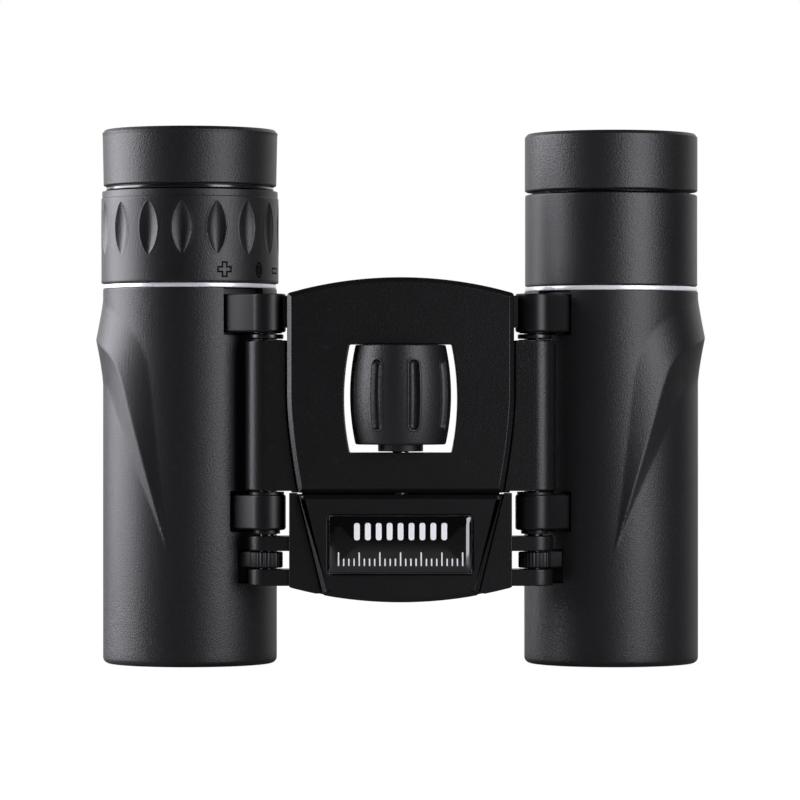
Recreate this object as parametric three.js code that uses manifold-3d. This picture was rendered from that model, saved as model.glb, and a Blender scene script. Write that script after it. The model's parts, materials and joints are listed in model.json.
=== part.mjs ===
// Compact folding binoculars: two roof prism barrels on a double-hinge bridge with a central
// focus wheel. The object stands on its objective rims with the eyepieces up.
// Millimetres, +Z up, the bridge faces -Y, the user's right eye is at -X.
import * as THREE from "three";
import { mergeVertices } from "three/addons/utils/BufferGeometryUtils.js";
import Module from "manifold-3d";

const wasm = await Module();
wasm.setup();

// ---------------------------------------------------------------- clearances
const fit = 0.3; // between pieces that slide, turn or seat in one another
const stackGap = 0.12; // between pieces stacked along a barrel

// ------------------------------------------------------------------- barrels
const barrelSpacing = 75.2; // between the barrel axes with both barrels opened out
const barrelLength = 66.2; // armour, from the objective rim to the trim ring
const barrelRadius = 15.5; // outside of the armour
const armourThickness = 1.2;
const armourLip = 1.2; // the lip of the armour under the barrel tube
const armourLipWidth = 2.9;
const armourFillet = 1.8; // round edge at the objective end
const tubeWall = 1.2;
const tubeShoulder = 2.2; // thickness of the ring that closes the tube at the top
const neckStep = 1.8; // the neck above the shoulder is smaller than the tube by this
const neckWall = 1.2;
const neckHeight = 13;
const diopterSideLift = 0.5; // the right barrel is longer by this much

// -------------------------------------------------------- grip on the armour
const gripHeight = 1.25; // how far the crest stands out at the top of its arch
const gripArchZ = 58; // height of the arch
const gripLength = 38.5; // from the arch down to the tips of its two legs
const gripShoulderAngle = 44; // how fast the crest turns down from the arch, degrees
const gripLegAngle = 41; // how far each leg then leans away, degrees
const gripBend = 0.045; // share of the length in which the crest turns down
const gripInnerWidth = 7; // slope on the outer side of the arch
const gripOuterWidth = 8; // slope on the inner side of the arch
const rightGripAngle = 96; // centre of the arch, degrees from the front to the outside
const leftGripAngle = 84;

// ------------------------------------------------------------ upper dressing
const trimRingHeight = 0.8;
const trimRingInset = 0.15; // inside the armour's surface
const sleeveHeight = 16.3;
const sleeveInset = 0.14; // inside the armour's surface
const diopterRingHeight = 15.9;
const diopterRingProud = 0.3; // outside the armour's surface
const dimpleCount = 16;
const dimpleHeight = 9.4;
const dimpleWidth = 3.5;
const dimpleDepth = 0.75;
const dimpleCentre = 9.6; // above the lower edge of the diopter ring
const grooveHeight = 0.55; // between the sleeve and the eyecup
const diopterGrooveHeight = 1.15;
const flangeInset = 1.9; // inside the armour's surface
const diopterFlangeInset = 0.4;

// ------------------------------------------------------------------- eyecups
const eyecupHeight = 10.3;
const eyecupInset = 0.1; // inside the armour's surface
const eyecupFlare = 0.25; // the diopter side's cup opens out by this much
const eyecupWall = 2.2;
const eyecupFloor = 2.2;
const eyecupEdge = 0.9;

// ---------------------------------------------------------------- eyepieces
const eyepieceTubeWall = 1.2;
const eyepieceTubeDepth = 22.4; // below the eyecup
const eyepieceNeckStep = 0.2; // the part above the neck is larger than the tube by this
const lensSeat = 1.0; // lip under the field lens
const fieldLensThickness = 3.5;
const eyeLensEdge = 2.0;
const eyeLensCrown = 1.3;
const eyeOpeningRadius = 6.8;
const eyeRetainerThickness = 1.0;

// --------------------------------------------------------------- objectives
const objectiveRecess = 4.0; // cell behind the objective rim
const objectiveCellWall = 1.2;
const objectiveChamber = 5.6; // depth that holds the lens and its retainer
const objectiveRetainerHeight = 1.5;
const objectiveRetainerWidth = 1.1;
const objectiveEdge = 2.2;
const objectiveCrown = 1.0;

// ------------------------------------------------------------------- prisms
const prismCageHeight = 19.5;
const prismCageTop = 5.7; // below the barrel's top
const prismWidth = 14;
const prismDepth = 13;
const prismHeight = 17.3;
const prismGap = 0.5; // air between the two prisms
const prismLedge = 0.9;

// ------------------------------------------------------------------- hinges
const hingeSpacing = 47; // between the two hinge axes
const hingeClearance = 1.0252; // between a barrel and the hinge sleeve it swings round
const foldAngle = 66; // how far each barrel swings in behind the bridge, degrees
const pinRadius = 1.4;
const pinHeadRadius = 2.3;
const pinHeadHeight = 0.9;
const knuckleRadius = 3.4;
const bridgeSleeveRadius = 3.7;
const lugRadius = 3.2;
const armKnuckleRadius = 2.9;
const armHalfWidth = 2.0;
// lengths along a hinge, from the top of the barrel down
const knuckleDrop = 0.7;
const upperKnuckleHeight = 6.8;
const washerSpace = 1.4;
const bridgeSleeveHeight = 26.3;
const lowerSpace = 0.7;
const lowerKnuckleHeight = 6.2;
const lugSpace = 1.0;
const upperLugHeight = 2.6;
const armSpace = 0.2;
const armHeight = 2.8;
const lowerLugHeight = 2.9;
const washerThickness = 0.8;
const washerWidth = 1.3;
const focusTravel = 2.5;

// ------------------------------------------------------------------- bridge
const panelFront = 5.2; // raised panel, in front of the hinge plane
const wingFront = 3.7;
const bridgeBack = 2.4; // behind the hinge plane
const coverBack = 1.2; // parting plane of cover and base, in front of the hinge plane
const panelChamfer = 0.8;
const panelSeamTaper = 2.0; // each side of the raised panel, from its top down to the seam
const panelFootTaper = 6.3; // and from its top down to its foot
const topArcRise = 2.8;
const bottomArcRise = 2.6;
const seamDrop = 0.3; // upper bridge below its hinge sleeves
const seamGap = 0.3;
const windowAboveSeam = 7.0;
const windowSideGap = 1.05; // beside the middle of the wheel
const windowEndGap = 1.0; // beside its ends

// -------------------------------------------------------------- focus drive
const wheelAxisFront = 1.4; // wheel axis, in front of the hinge plane
const wheelRadius = 8.85;
const wheelEndRadius = 7.9;
const wheelHeight = 17.3;
const wheelTopGap = 0.2;
const wheelNeckHeight = 1.4; // from the window's lower edge up to the wheel
const wheelNeckRadius = 3.95;
const wheelGrooveCount = 8;
const wheelGrooveWidth = 1.9;
const wheelGrooveLength = 12.2;
const wheelGrooveDepth = 0.8;
const screwRadius = 1.5;
const bushWall = 0.8;
const bushHeight = 3.2;
const nutHalfWidth = 3.2;
const nutHalfDepth = 2.3;
const nutHeight = 6;
const nutBelowSeam = 3.6;

// ----------------------------------------------------------- badge and screws
const badgeHalfWidth = 12.65;
const badgeHeight = 10.45;
const badgeBelowSeam = 3.5;
const badgeCorner = 0.9;
const badgeThickness = 0.9;
const badgeRecess = 0.6;
const coverScrewRadius = 0.8;
const coverScrewHeadRadius = 1.5;
const coverScrewHeadHeight = 0.9;
const coverScrewLength = 5.2;
const coverScrewInset = 5.2; // from the edge of the raised panel

// ------------------------------------------------------------ derived places
const hingeX = hingeSpacing / 2;
const barrelX = barrelSpacing / 2;
const hingeReach = barrelRadius + hingeClearance + bridgeSleeveRadius;
const hingeSetback = Math.sqrt(hingeReach ** 2 - (barrelX - hingeX) ** 2);
const trimRingRadius = barrelRadius - trimRingInset;
const sleeveRadius = barrelRadius - sleeveInset;
const diopterRingRadius = barrelRadius + diopterRingProud;
const eyecupRadius = barrelRadius - eyecupInset;
const armourBore = barrelRadius - armourThickness;
const tubeRadius = armourBore - fit;
const tubeBore = tubeRadius - tubeWall;
const neckRadius = tubeRadius - neckStep;
const neckBore = neckRadius - neckWall;
const eyepieceTubeRadius = neckBore - fit;
const eyepieceNeckRadius = eyepieceTubeRadius + eyepieceNeckStep;
const pinBore = pinRadius + fit;

const upperKnuckleTop = barrelLength - knuckleDrop;
const upperKnuckleBottom = upperKnuckleTop - upperKnuckleHeight;
const sleeveTopZ = upperKnuckleBottom - washerSpace;
const sleeveBottomZ = sleeveTopZ - bridgeSleeveHeight;
const lowerKnuckleTop = sleeveBottomZ - lowerSpace;
const lowerKnuckleBottom = lowerKnuckleTop - lowerKnuckleHeight;
const upperLugTop = lowerKnuckleBottom - lugSpace;
const upperLugBottom = upperLugTop - upperLugHeight;
const armTop = upperLugBottom - armSpace;
const armBottom = armTop - armHeight;
const lowerLugTop = armBottom - armSpace;
const lowerLugBottom = lowerLugTop - lowerLugHeight;

const bridgeTopZ = upperKnuckleTop;
const seamZ = sleeveBottomZ - seamDrop;
const sliderTopZ = seamZ - seamGap;
const windowHalfMiddle = wheelRadius + windowSideGap;
const windowHalfEnd = wheelEndRadius + windowEndGap;
const windowHeight = wheelNeckHeight + wheelHeight + wheelTopGap;
const windowBottomZ = seamZ + windowAboveSeam;
const windowTopZ = windowBottomZ + windowHeight;
const wheelTopZ = windowTopZ - wheelTopGap;
const wheelBottomZ = wheelTopZ - wheelHeight;
const upperBushBottomZ = windowTopZ + 1;
const lowerBushBottomZ = windowBottomZ - 1.2 - bushHeight;
const nutTopZ = sliderTopZ - nutBelowSeam;
const nutBottomZ = nutTopZ - nutHeight;
const screwTopZ = upperBushBottomZ + bushHeight;
const screwBottomZ = nutBottomZ - 5;
const badgeTopZ = sliderTopZ - badgeBelowSeam;

const panelTopHalf = hingeX - Math.max(knuckleRadius, bridgeSleeveRadius - fit) - fit;
const panelSeamHalf = panelTopHalf - panelSeamTaper;
const panelFootHalf = panelTopHalf - panelFootTaper;
const bottomArcHalf = panelTopHalf - fit;

const wheelFrontY = -wheelAxisFront - wheelRadius;
const barrelBackY = hingeSetback + Math.max(barrelRadius, diopterRingRadius, eyecupRadius + eyecupFlare);
const middleY = (wheelFrontY + barrelBackY) / 2;

// ------------------------------------------------------------------- colours
const finish = (color, roughness, metalness) => ({ color, roughness, metalness });
const softBlack = finish(0x242427, 0.62, 0);
const satinBlack = finish(0x1b1b1d, 0.5, 0);
const rubberBlack = finish(0x1d1d1f, 0.75, 0);
const bareBlack = finish(0x222222, 0.55, 0.3);
const chrome = finish(0xe4e4e8, 0.12, 1);
const steel = finish(0xb4b6ba, 0.3, 1);
const brass = finish(0xb58f4a, 0.35, 1);
const glass = finish(0x9fb8c8, 0.05, 0);
const gloss = finish(0x0c0c0e, 0.1, 0);

// ------------------------------------------------------------------- helpers
function toSolid(geometry) {
  const bare = geometry.index ? geometry.toNonIndexed() : geometry.clone();
  bare.deleteAttribute("normal");
  bare.deleteAttribute("uv");
  const merged = mergeVertices(bare, 1e-4);
  const solid = new wasm.Manifold(
    new wasm.Mesh({
      numProp: 3,
      vertProperties: merged.attributes.position.array,
      triVerts: new Uint32Array(merged.index.array),
    }),
  );
  if (solid.isEmpty()) throw new Error("a shape did not close");
  return solid;
}

function toGeometry(solid) {
  const mesh = solid.getMesh();
  const geometry = new THREE.BufferGeometry();
  geometry.setAttribute("position", new THREE.BufferAttribute(mesh.vertProperties, 3));
  geometry.setIndex(new THREE.BufferAttribute(mesh.triVerts, 1));
  geometry.computeVertexNormals();
  return geometry;
}

const join = (first, ...rest) => rest.reduce((sum, solid) => sum.add(solid), first);
const cut = (first, ...rest) => rest.reduce((sum, solid) => sum.subtract(solid), first);

// a solid of revolution about Z from [radius, height] points, counter-clockwise
function turned(points, segments = 24) {
  const closed = points[0][0] > 0 ? [...points, points[0]] : points;
  const profile = closed.map(([radius, height]) => new THREE.Vector2(radius, height));
  return toSolid(new THREE.LatheGeometry(profile, segments).rotateX(Math.PI / 2));
}

const rod = (radius, bottom, top, segments) =>
  turned([[0, bottom], [radius, bottom], [radius, top], [0, top]], segments);

const ring = (inner, outer, bottom, top, segments) =>
  turned([[inner, bottom], [outer, bottom], [outer, top], [inner, top]], segments);

function block(x0, x1, y0, y1, z0, z1) {
  const box = new THREE.BoxGeometry(x1 - x0, y1 - y0, z1 - z0);
  return toSolid(box.translate((x0 + x1) / 2, (y0 + y1) / 2, (z0 + z1) / 2));
}

const outline = (points) => new THREE.Shape(points.map(([x, z]) => new THREE.Vector2(x, z)));

// a plate that lies level, its outline in X and Y
function level(shape, bottom, top, curveSegments = 8) {
  const options = { depth: top - bottom, bevelEnabled: false, curveSegments };
  return toSolid(new THREE.ExtrudeGeometry(shape, options).translate(0, 0, bottom));
}

// a plate that stands up, its outline in X and Z, with a chamfer round its front face
function standing(shape, frontY, backY, chamfer = 0) {
  const options = { depth: backY - frontY - chamfer, bevelEnabled: chamfer > 0, curveSegments: 5 };
  options.bevelThickness = chamfer;
  options.bevelSize = chamfer;
  options.bevelOffset = -chamfer;
  options.bevelSegments = 1;
  const geometry = new THREE.ExtrudeGeometry(shape, options);
  const plate = toSolid(geometry.rotateX(Math.PI / 2).translate(0, backY, 0));
  if (chamfer === 0) return plate;
  return cut(plate, block(-200, 200, backY, backY + 10, -200, 400));
}

const lying = (solid, x, y, z) => solid.translate([x, y, z]);
const aboutZ = (solid, radians) => solid.rotate([0, 0, THREE.MathUtils.radToDeg(radians)]);

function piece(name, solid, look) {
  const mesh = new THREE.Mesh(toGeometry(solid), new THREE.MeshStandardMaterial(look));
  mesh.name = name;
  return mesh;
}

// --------------------------------------------------------------------- grip
// The crest is an arch on the outer side of the barrel with two long legs. The relief falls
// away from it on both sides and fades out towards the tips of the legs.
const crest = Array.from({ length: 81 }, (_, index) => {
  const along = (index / 80) ** 2;
  const turn = gripShoulderAngle * (1 - Math.exp(-along / gripBend)) + gripLegAngle * along;
  const fade = 1 - along;
  return {
    side: THREE.MathUtils.degToRad(turn) * barrelRadius,
    height: gripArchZ - gripLength * along,
    relief: gripHeight * fade ** 0.7,
    inner: gripInnerWidth * fade ** 1.1 + 0.01,
    outer: gripOuterWidth * fade ** 1.5 + 0.01,
  };
});

function gripRelief(angle, height) {
  const side = Math.abs(angle) * barrelRadius;
  let nearest = crest[0];
  let distance = Infinity;
  for (const point of crest) {
    const gap = Math.hypot(side - point.side, height - point.height);
    if (gap < distance) {
      distance = gap;
      nearest = point;
    }
  }
  const below = side < nearest.side && height < nearest.height;
  const width = below ? nearest.outer : nearest.inner;
  return nearest.relief * Math.max(0, 1 - distance / width);
}

// outside of the armour as a solid, with its relief and round lower edge
function armourBody(length, gripCentre) {
  const around = 32;
  const rows = [];
  for (let step = 0; step <= 3; step += 1) {
    const bend = (step / 3) * (Math.PI / 2);
    const radius = barrelRadius - armourFillet * (1 - Math.sin(bend));
    rows.push({ radius, height: armourFillet * (1 - Math.cos(bend)), shaped: false });
  }
  const first = gripArchZ - gripLength - 4;
  const count = 11;
  for (let step = 0; step < count; step += 1) {
    const height = first + ((length - 1.5 - first) * step) / (count - 1);
    rows.push({ radius: barrelRadius, height, shaped: true });
  }
  rows.push({ radius: barrelRadius, height: length, shaped: false });
  const positions = [0, 0, 0];
  for (const row of rows) {
    for (let step = 0; step < around; step += 1) {
      const angle = (step / around) * 2 * Math.PI;
      const fromCentre = Math.atan2(Math.sin(angle - gripCentre), Math.cos(angle - gripCentre));
      const extra = row.shaped ? gripRelief(fromCentre, row.height) : 0;
      const radius = row.radius + extra;
      positions.push(radius * Math.cos(angle), radius * Math.sin(angle), row.height);
    }
  }
  positions.push(0, 0, length);
  const top = positions.length / 3 - 1;
  const index = [];
  for (let step = 0; step < around; step += 1) {
    const next = (step + 1) % around;
    index.push(0, 1 + next, 1 + step);
    for (let row = 0; row < rows.length - 1; row += 1) {
      const low = 1 + row * around;
      const high = low + around;
      index.push(low + step, low + next, high + next);
      index.push(low + step, high + next, high + step);
    }
    index.push(top, top - around + step, top - around + next);
  }
  const geometry = new THREE.BufferGeometry();
  geometry.setAttribute("position", new THREE.Float32BufferAttribute(positions, 3));
  geometry.setIndex(index);
  return toSolid(geometry);
}

// ------------------------------------------------------------------- barrels
// Every piece of a barrel is made about the barrel's own axis. The hinge axis lies at
// hingeReach from it, in the direction of toHinge.
function makeBarrel(eye) {
  const right = eye === "right_eye";
  const outward = right ? -1 : 1;
  const toHinge = Math.atan2(-hingeSetback, outward * (hingeX - barrelX));
  const length = barrelLength + (right ? diopterSideLift : 0);
  const groove = right ? diopterGrooveHeight : grooveHeight;
  const bodyHeight = right ? diopterRingHeight : sleeveHeight;
  const bodyBottom = length + trimRingHeight + stackGap;
  const bodyTop = bodyBottom + bodyHeight;
  const cupBottom = bodyTop + groove;

  // an arm from the barrel to the hinge axis, ending in a round knuckle
  function arm(radius, halfWidth, start, bottom, top) {
    const bar = block(start, hingeReach, -halfWidth, halfWidth, bottom, top);
    return aboutZ(join(bar, lying(rod(radius, bottom, top, 16), hingeReach, 0, 0)), toHinge);
  }
  const hingeHole = (radius, bottom, top) =>
    aboutZ(lying(rod(radius, bottom, top, 12), hingeReach, 0, 0), toHinge);
  const slot = (start, end, halfWidth, bottom, top) =>
    aboutZ(block(start, end, -halfWidth, halfWidth, bottom, top), toHinge);

  const wide = barrelRadius + 5;
  const armSlot = slot(
    0,
    wide,
    armHalfWidth + fit,
    armBottom - focusTravel - 0.4,
    armTop + fit,
  );

  const gripSide = THREE.MathUtils.degToRad(right ? rightGripAngle : leftGripAngle);
  const gripCentre = -Math.PI / 2 + outward * gripSide;
  const armour = cut(
    armourBody(length, gripCentre),
    rod(armourBore, armourLip, length + 1, 28),
    rod(barrelRadius - armourLipWidth, -1, armourLip + 1, 24),
    slot(0, wide, knuckleRadius + 0.5, upperKnuckleBottom - 0.4, length + 1),
    slot(0, wide, knuckleRadius + 0.5, lowerKnuckleBottom - 0.4, lowerKnuckleTop + 0.6),
    armSlot,
  );

  const tubeBottom = armourLip + stackGap;
  const tubeOutside = turned(
    [
      [0, tubeBottom],
      [tubeRadius, tubeBottom],
      [tubeRadius, length],
      [neckRadius, length],
      [neckRadius, length + neckHeight],
      [0, length + neckHeight],
    ],
    28,
  );
  const tubeInside = turned(
    [
      [0, tubeBottom - 1],
      [tubeBore, tubeBottom - 1],
      [tubeBore, length - tubeShoulder],
      [neckBore, length - tubeShoulder],
      [neckBore, length + neckHeight + 1],
      [0, length + neckHeight + 1],
    ],
    24,
  );
  const tube = cut(
    join(
      tubeOutside,
      arm(knuckleRadius, knuckleRadius, tubeBore - 1, upperKnuckleBottom, upperKnuckleTop),
      arm(knuckleRadius, knuckleRadius, tubeBore - 1, lowerKnuckleBottom, lowerKnuckleTop),
    ),
    tubeInside,
    hingeHole(pinBore, lowerKnuckleBottom - 1, upperKnuckleTop + 1),
    hingeHole(pinHeadRadius + fit, upperKnuckleTop - pinHeadHeight - 0.2, upperKnuckleTop + 1),
    armSlot,
  );

  const trim = ring(neckRadius + fit, trimRingRadius, length, length + trimRingHeight, 28);

  let body;
  if (right) {
    body = ring(neckRadius + fit, diopterRingRadius, bodyBottom, bodyTop, 32);
    const scoop = toSolid(new THREE.SphereGeometry(1, 6, 4).rotateX(Math.PI / 2));
    const shaped = scoop.scale([dimpleDepth, dimpleWidth / 2, dimpleHeight / 2]);
    for (let index = 0; index < dimpleCount; index += 1) {
      const dimple = lying(shaped, diopterRingRadius, 0, bodyBottom + dimpleCentre);
      body = cut(body, aboutZ(dimple, ((index + 0.5) * 2 * Math.PI) / dimpleCount));
    }
  } else {
    body = ring(neckRadius + fit, sleeveRadius, bodyBottom, bodyTop, 28);
  }

  const flange = barrelRadius - (right ? diopterFlangeInset : flangeInset);
  const eyepieceBore = eyepieceTubeRadius - eyepieceTubeWall;
  const tubeFoot = cupBottom - eyepieceTubeDepth;
  const neckTop = cupBottom + eyecupFloor + 0.3;
  const eyepieceTube = turned(
    [
      [eyepieceBore - 1.3, tubeFoot],
      [eyepieceTubeRadius, tubeFoot],
      [eyepieceTubeRadius, bodyTop + stackGap],
      [flange, bodyTop + stackGap],
      [flange, cupBottom - stackGap],
      [eyepieceNeckRadius, cupBottom - stackGap],
      [eyepieceNeckRadius, neckTop],
      [eyepieceBore, neckTop],
      [eyepieceBore, tubeFoot + lensSeat],
      [eyepieceBore - 1.3, tubeFoot + lensSeat],
    ],
    22,
  );

  const lensRadius = eyepieceBore - fit;
  const fieldBottom = tubeFoot + lensSeat + stackGap;
  const fieldTop = fieldBottom + fieldLensThickness;
  const fieldLens = turned(
    [
      [0, fieldBottom],
      [lensRadius, fieldBottom],
      [lensRadius, fieldTop - 1.2],
      [lensRadius - 1.2, fieldTop - 1.2],
      [lensRadius / 2, fieldTop - 0.3],
      [0, fieldTop],
    ],
    18,
  );
  const eyeLensTop = neckTop - 0.5;
  const eyeLensBottom = eyeLensTop - eyeLensEdge;
  const eyeLens = turned(
    [
      [0, eyeLensBottom],
      [lensRadius, eyeLensBottom],
      [lensRadius, eyeLensTop],
      [eyeOpeningRadius, eyeLensTop],
      [eyeOpeningRadius / 2, eyeLensTop + eyeLensCrown * 0.75],
      [0, eyeLensTop + eyeLensCrown],
    ],
    18,
  );
  const spacerBottom = fieldTop - 1.2 + stackGap;
  const spacer = ring(lensRadius - 1, lensRadius, spacerBottom, eyeLensBottom - stackGap, 18);
  const retainerBottom = neckTop + stackGap;
  const retainer = turned(
    [
      [lensRadius - 1, eyeLensTop + stackGap],
      [lensRadius, eyeLensTop + stackGap],
      [lensRadius, retainerBottom],
      [eyecupRadius - eyecupWall - fit, retainerBottom],
      [eyecupRadius - eyecupWall - fit, retainerBottom + 0.5],
      [eyeOpeningRadius + 1.2, retainerBottom + eyeRetainerThickness],
      [lensRadius - 1, retainerBottom + eyeRetainerThickness],
    ],
    22,
  );

  const cupTop = cupBottom + eyecupHeight;
  const cupTopRadius = eyecupRadius + (right ? eyecupFlare : 0);
  const cupBore = eyecupRadius - eyecupWall;
  const eyecup = turned(
    [
      [eyepieceNeckRadius + fit, cupBottom],
      [eyecupRadius, cupBottom],
      [cupTopRadius, cupTop - 0.6 * eyecupEdge],
      [cupTopRadius - 0.6 * eyecupEdge, cupTop],
      [cupBore, cupTop],
      [cupBore, cupBottom + eyecupFloor],
      [eyepieceNeckRadius + fit, cupBottom + eyecupFloor],
    ],
    28,
  );

  const cageTop = barrelLength - prismCageTop;
  const cageBottom = cageTop - prismCageHeight;
  const halfWidth = prismWidth / 2;
  const halfDepth = prismDepth / 2;
  const cage = cut(
    rod(tubeBore - fit, cageBottom, cageTop, 24),
    block(
      -halfWidth - fit,
      halfWidth + fit,
      -halfDepth - fit,
      halfDepth + fit,
      cageBottom + prismLedge,
      cageTop + 1,
    ),
    block(-halfWidth + 1.3, halfWidth - 1.3, -halfDepth + 1, halfDepth - 1, cageBottom - 1, cageTop),
  );
  const prismFoot = cageBottom + prismLedge + stackGap;
  const slantLow = prismFoot + 2.8;
  const slantHigh = slantLow + prismWidth * Math.tan(Math.PI / 8);
  const prismTop = prismFoot + prismHeight;
  const lowerPrism = standing(
    outline([
      [-halfWidth, prismFoot],
      [halfWidth, prismFoot],
      [halfWidth, slantLow],
      [-halfWidth, slantHigh],
    ]),
    -halfDepth,
    halfDepth,
  );
  const upperPrism = standing(
    outline([
      [halfWidth, slantLow + prismGap],
      [halfWidth - 1.5, prismTop],
      [-halfWidth + 2, prismTop],
      [-halfWidth, slantHigh + prismGap],
    ]),
    -halfDepth,
    halfDepth,
  );

  const cellRadius = tubeBore - fit;
  const cellBore = cellRadius - objectiveCellWall;
  const cellTop = armTop + 1.2;
  const chamberTop = objectiveRecess + objectiveChamber;
  const armPocket = slot(0, wide, armHalfWidth + fit, armBottom - fit, armTop + fit);
  const cell = cut(
    turned(
      [
        [cellBore - 1.3, chamberTop],
        [cellBore, chamberTop],
        [cellBore, objectiveRecess],
        [cellRadius, objectiveRecess],
        [cellRadius, cellTop],
        [cellBore, cellTop],
        [cellBore, chamberTop + 1],
        [cellBore - 1.3, chamberTop + 1],
      ],
      24,
    ),
    armPocket,
  );
  const objectiveRadius = cellBore - fit;
  const objectiveTop = chamberTop - stackGap;
  const objectiveBottom = objectiveTop - objectiveEdge;
  const objectiveLens = turned(
    [
      [0, objectiveBottom - objectiveCrown],
      [objectiveRadius / 2, objectiveBottom - objectiveCrown * 0.75],
      [objectiveRadius - objectiveRetainerWidth, objectiveBottom],
      [objectiveRadius, objectiveBottom],
      [objectiveRadius, objectiveTop],
      [0, objectiveTop],
    ],
    18,
  );
  const objectiveRetainer = ring(
    objectiveRadius - objectiveRetainerWidth,
    objectiveRadius,
    objectiveBottom - stackGap - objectiveRetainerHeight,
    objectiveBottom - stackGap,
    20,
  );
  const focusArm = cut(
    arm(armKnuckleRadius, armHalfWidth, cellBore, armBottom, armTop),
    hingeHole(pinBore, armBottom - 1, armTop + 1),
  );

  const group = new THREE.Group();
  group.position.set(outward * barrelX, hingeSetback, 0);
  group.add(
    piece(`${eye}_armour`, armour, softBlack),
    piece(`${eye}_barrel_tube`, tube, satinBlack),
    piece(`${eye}_trim_ring`, trim, chrome),
    piece(right ? `${eye}_diopter_ring` : `${eye}_sleeve`, body, softBlack),
    piece(`${eye}_eyepiece_tube`, eyepieceTube, bareBlack),
    piece(`${eye}_field_lens`, fieldLens, glass),
    piece(`${eye}_lens_spacer`, spacer, bareBlack),
    piece(`${eye}_eye_lens`, eyeLens, glass),
    piece(`${eye}_lens_retainer`, retainer, bareBlack),
    piece(`${eye}_eyecup`, eyecup, rubberBlack),
    piece(`${eye}_prism_cage`, cage, bareBlack),
    piece(`${eye}_lower_prism`, lowerPrism, glass),
    piece(`${eye}_upper_prism`, upperPrism, glass),
    piece(`${eye}_objective_cell`, cell, bareBlack),
    piece(`${eye}_objective_lens`, objectiveLens, glass),
    piece(`${eye}_objective_retainer`, objectiveRetainer, bareBlack),
    piece(`${eye}_focus_arm`, focusArm, satinBlack),
  );

  const pin = turned(
    [
      [0, lowerLugBottom + 0.2],
      [pinRadius, lowerLugBottom + 0.2],
      [pinRadius, upperKnuckleTop - pinHeadHeight],
      [pinHeadRadius, upperKnuckleTop - pinHeadHeight],
      [pinHeadRadius, upperKnuckleTop],
      [0, upperKnuckleTop],
    ],
    12,
  );
  const washerBottom = sleeveTopZ + (washerSpace - washerThickness) / 2;
  const washerTop = washerBottom + washerThickness;
  const washer = ring(pinBore, pinBore + washerWidth, washerBottom, washerTop, 12);
  const hinge = new THREE.Group();
  hinge.position.set(outward * hingeX, 0, 0);
  hinge.add(
    piece(`${eye}_hinge_pin`, pin, steel),
    piece(`${eye}_hinge_washer`, washer, steel),
  );
  return [group, hinge];
}

// -------------------------------------------------------------------- bridge
// points of a circular arc from [-half, ends] to [half, ends], bulging by rise
function arcPoints(half, ends, rise, steps) {
  const radius = (half * half + rise * rise) / (2 * Math.abs(rise));
  const spread = Math.asin(half / radius);
  const centre = ends + rise - Math.sign(rise) * radius;
  return Array.from({ length: steps + 1 }, (_, index) => {
    const angle = -spread + (2 * spread * index) / steps;
    return [radius * Math.sin(angle), centre + Math.sign(rise) * radius * Math.cos(angle)];
  });
}

const bottomEndZ = lowerLugBottom - 0.2;
const bottomArc = (half) =>
  arcPoints(bottomArcHalf, bottomEndZ, -bottomArcRise, 8).filter(([x]) => Math.abs(x) < half);

// left half of the raised panel's side above the seam, going up
function panelSide(extra) {
  const start = new THREE.Vector2(panelSeamHalf + extra, seamZ);
  const bend = new THREE.Vector2(panelTopHalf + extra, seamZ + 11.3);
  const end = new THREE.Vector2(panelTopHalf + extra, bridgeTopZ - 17);
  const curve = new THREE.QuadraticBezierCurve(start, bend, end);
  return [...curve.getPoints(4).map((point) => [point.x, point.y])];
}

const mirrorX = (points) => points.map(([x, z]) => [-x, z]);

function upperPanelOutline() {
  const half = panelTopHalf;
  const rise = topArcRise;
  const side = panelSide(0);
  const arc = arcPoints(half, bridgeTopZ, rise, 8);
  return outline([...side, ...arc.reverse(), ...mirrorX(side).reverse()]);
}

function windowOutline() {
  const shape = new THREE.Shape();
  const middle = (windowBottomZ + windowTopZ) / 2;
  const control = 2 * windowHalfMiddle - windowHalfEnd;
  shape.moveTo(-windowHalfEnd, windowBottomZ);
  shape.lineTo(windowHalfEnd, windowBottomZ);
  shape.quadraticCurveTo(control, middle, windowHalfEnd, windowTopZ);
  shape.lineTo(-windowHalfEnd, windowTopZ);
  shape.quadraticCurveTo(-control, middle, -windowHalfEnd, windowBottomZ);
  return shape;
}

function roundedRectangle(half, bottom, top, corner) {
  const shape = new THREE.Shape();
  shape.moveTo(-half + corner, bottom);
  shape.lineTo(half - corner, bottom);
  shape.quadraticCurveTo(half, bottom, half, bottom + corner);
  shape.lineTo(half, top - corner);
  shape.quadraticCurveTo(half, top, half - corner, top);
  shape.lineTo(-half + corner, top);
  shape.quadraticCurveTo(-half, top, -half, top - corner);
  shape.lineTo(-half, bottom + corner);
  shape.quadraticCurveTo(-half, bottom, -half + corner, bottom);
  return shape;
}

// half width of the lower panel at a height, along its straight side
const lowerPanelHalf = (height) => {
  const share = (sliderTopZ - height) / (sliderTopZ - bottomEndZ);
  return panelSeamHalf + (panelFootHalf - panelSeamHalf) * share;
};

// the back of the bridge stays clear of the arms of the folded barrels
const foldedArm = Math.atan2(hingeSetback, barrelX - hingeX) + THREE.MathUtils.degToRad(foldAngle);
const armEdgeX = (y) => hingeX - (knuckleRadius - Math.cos(foldedArm) * y) / Math.sin(foldedArm);
const backHalf = armEdgeX(bridgeBack) - 0.4;
const wingHalf = armEdgeX(0) - 0.6;

const onWheelAxis = (solid) => lying(solid, 0, -wheelAxisFront, 0);
const hingeSigns = [-1, 1];

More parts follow.
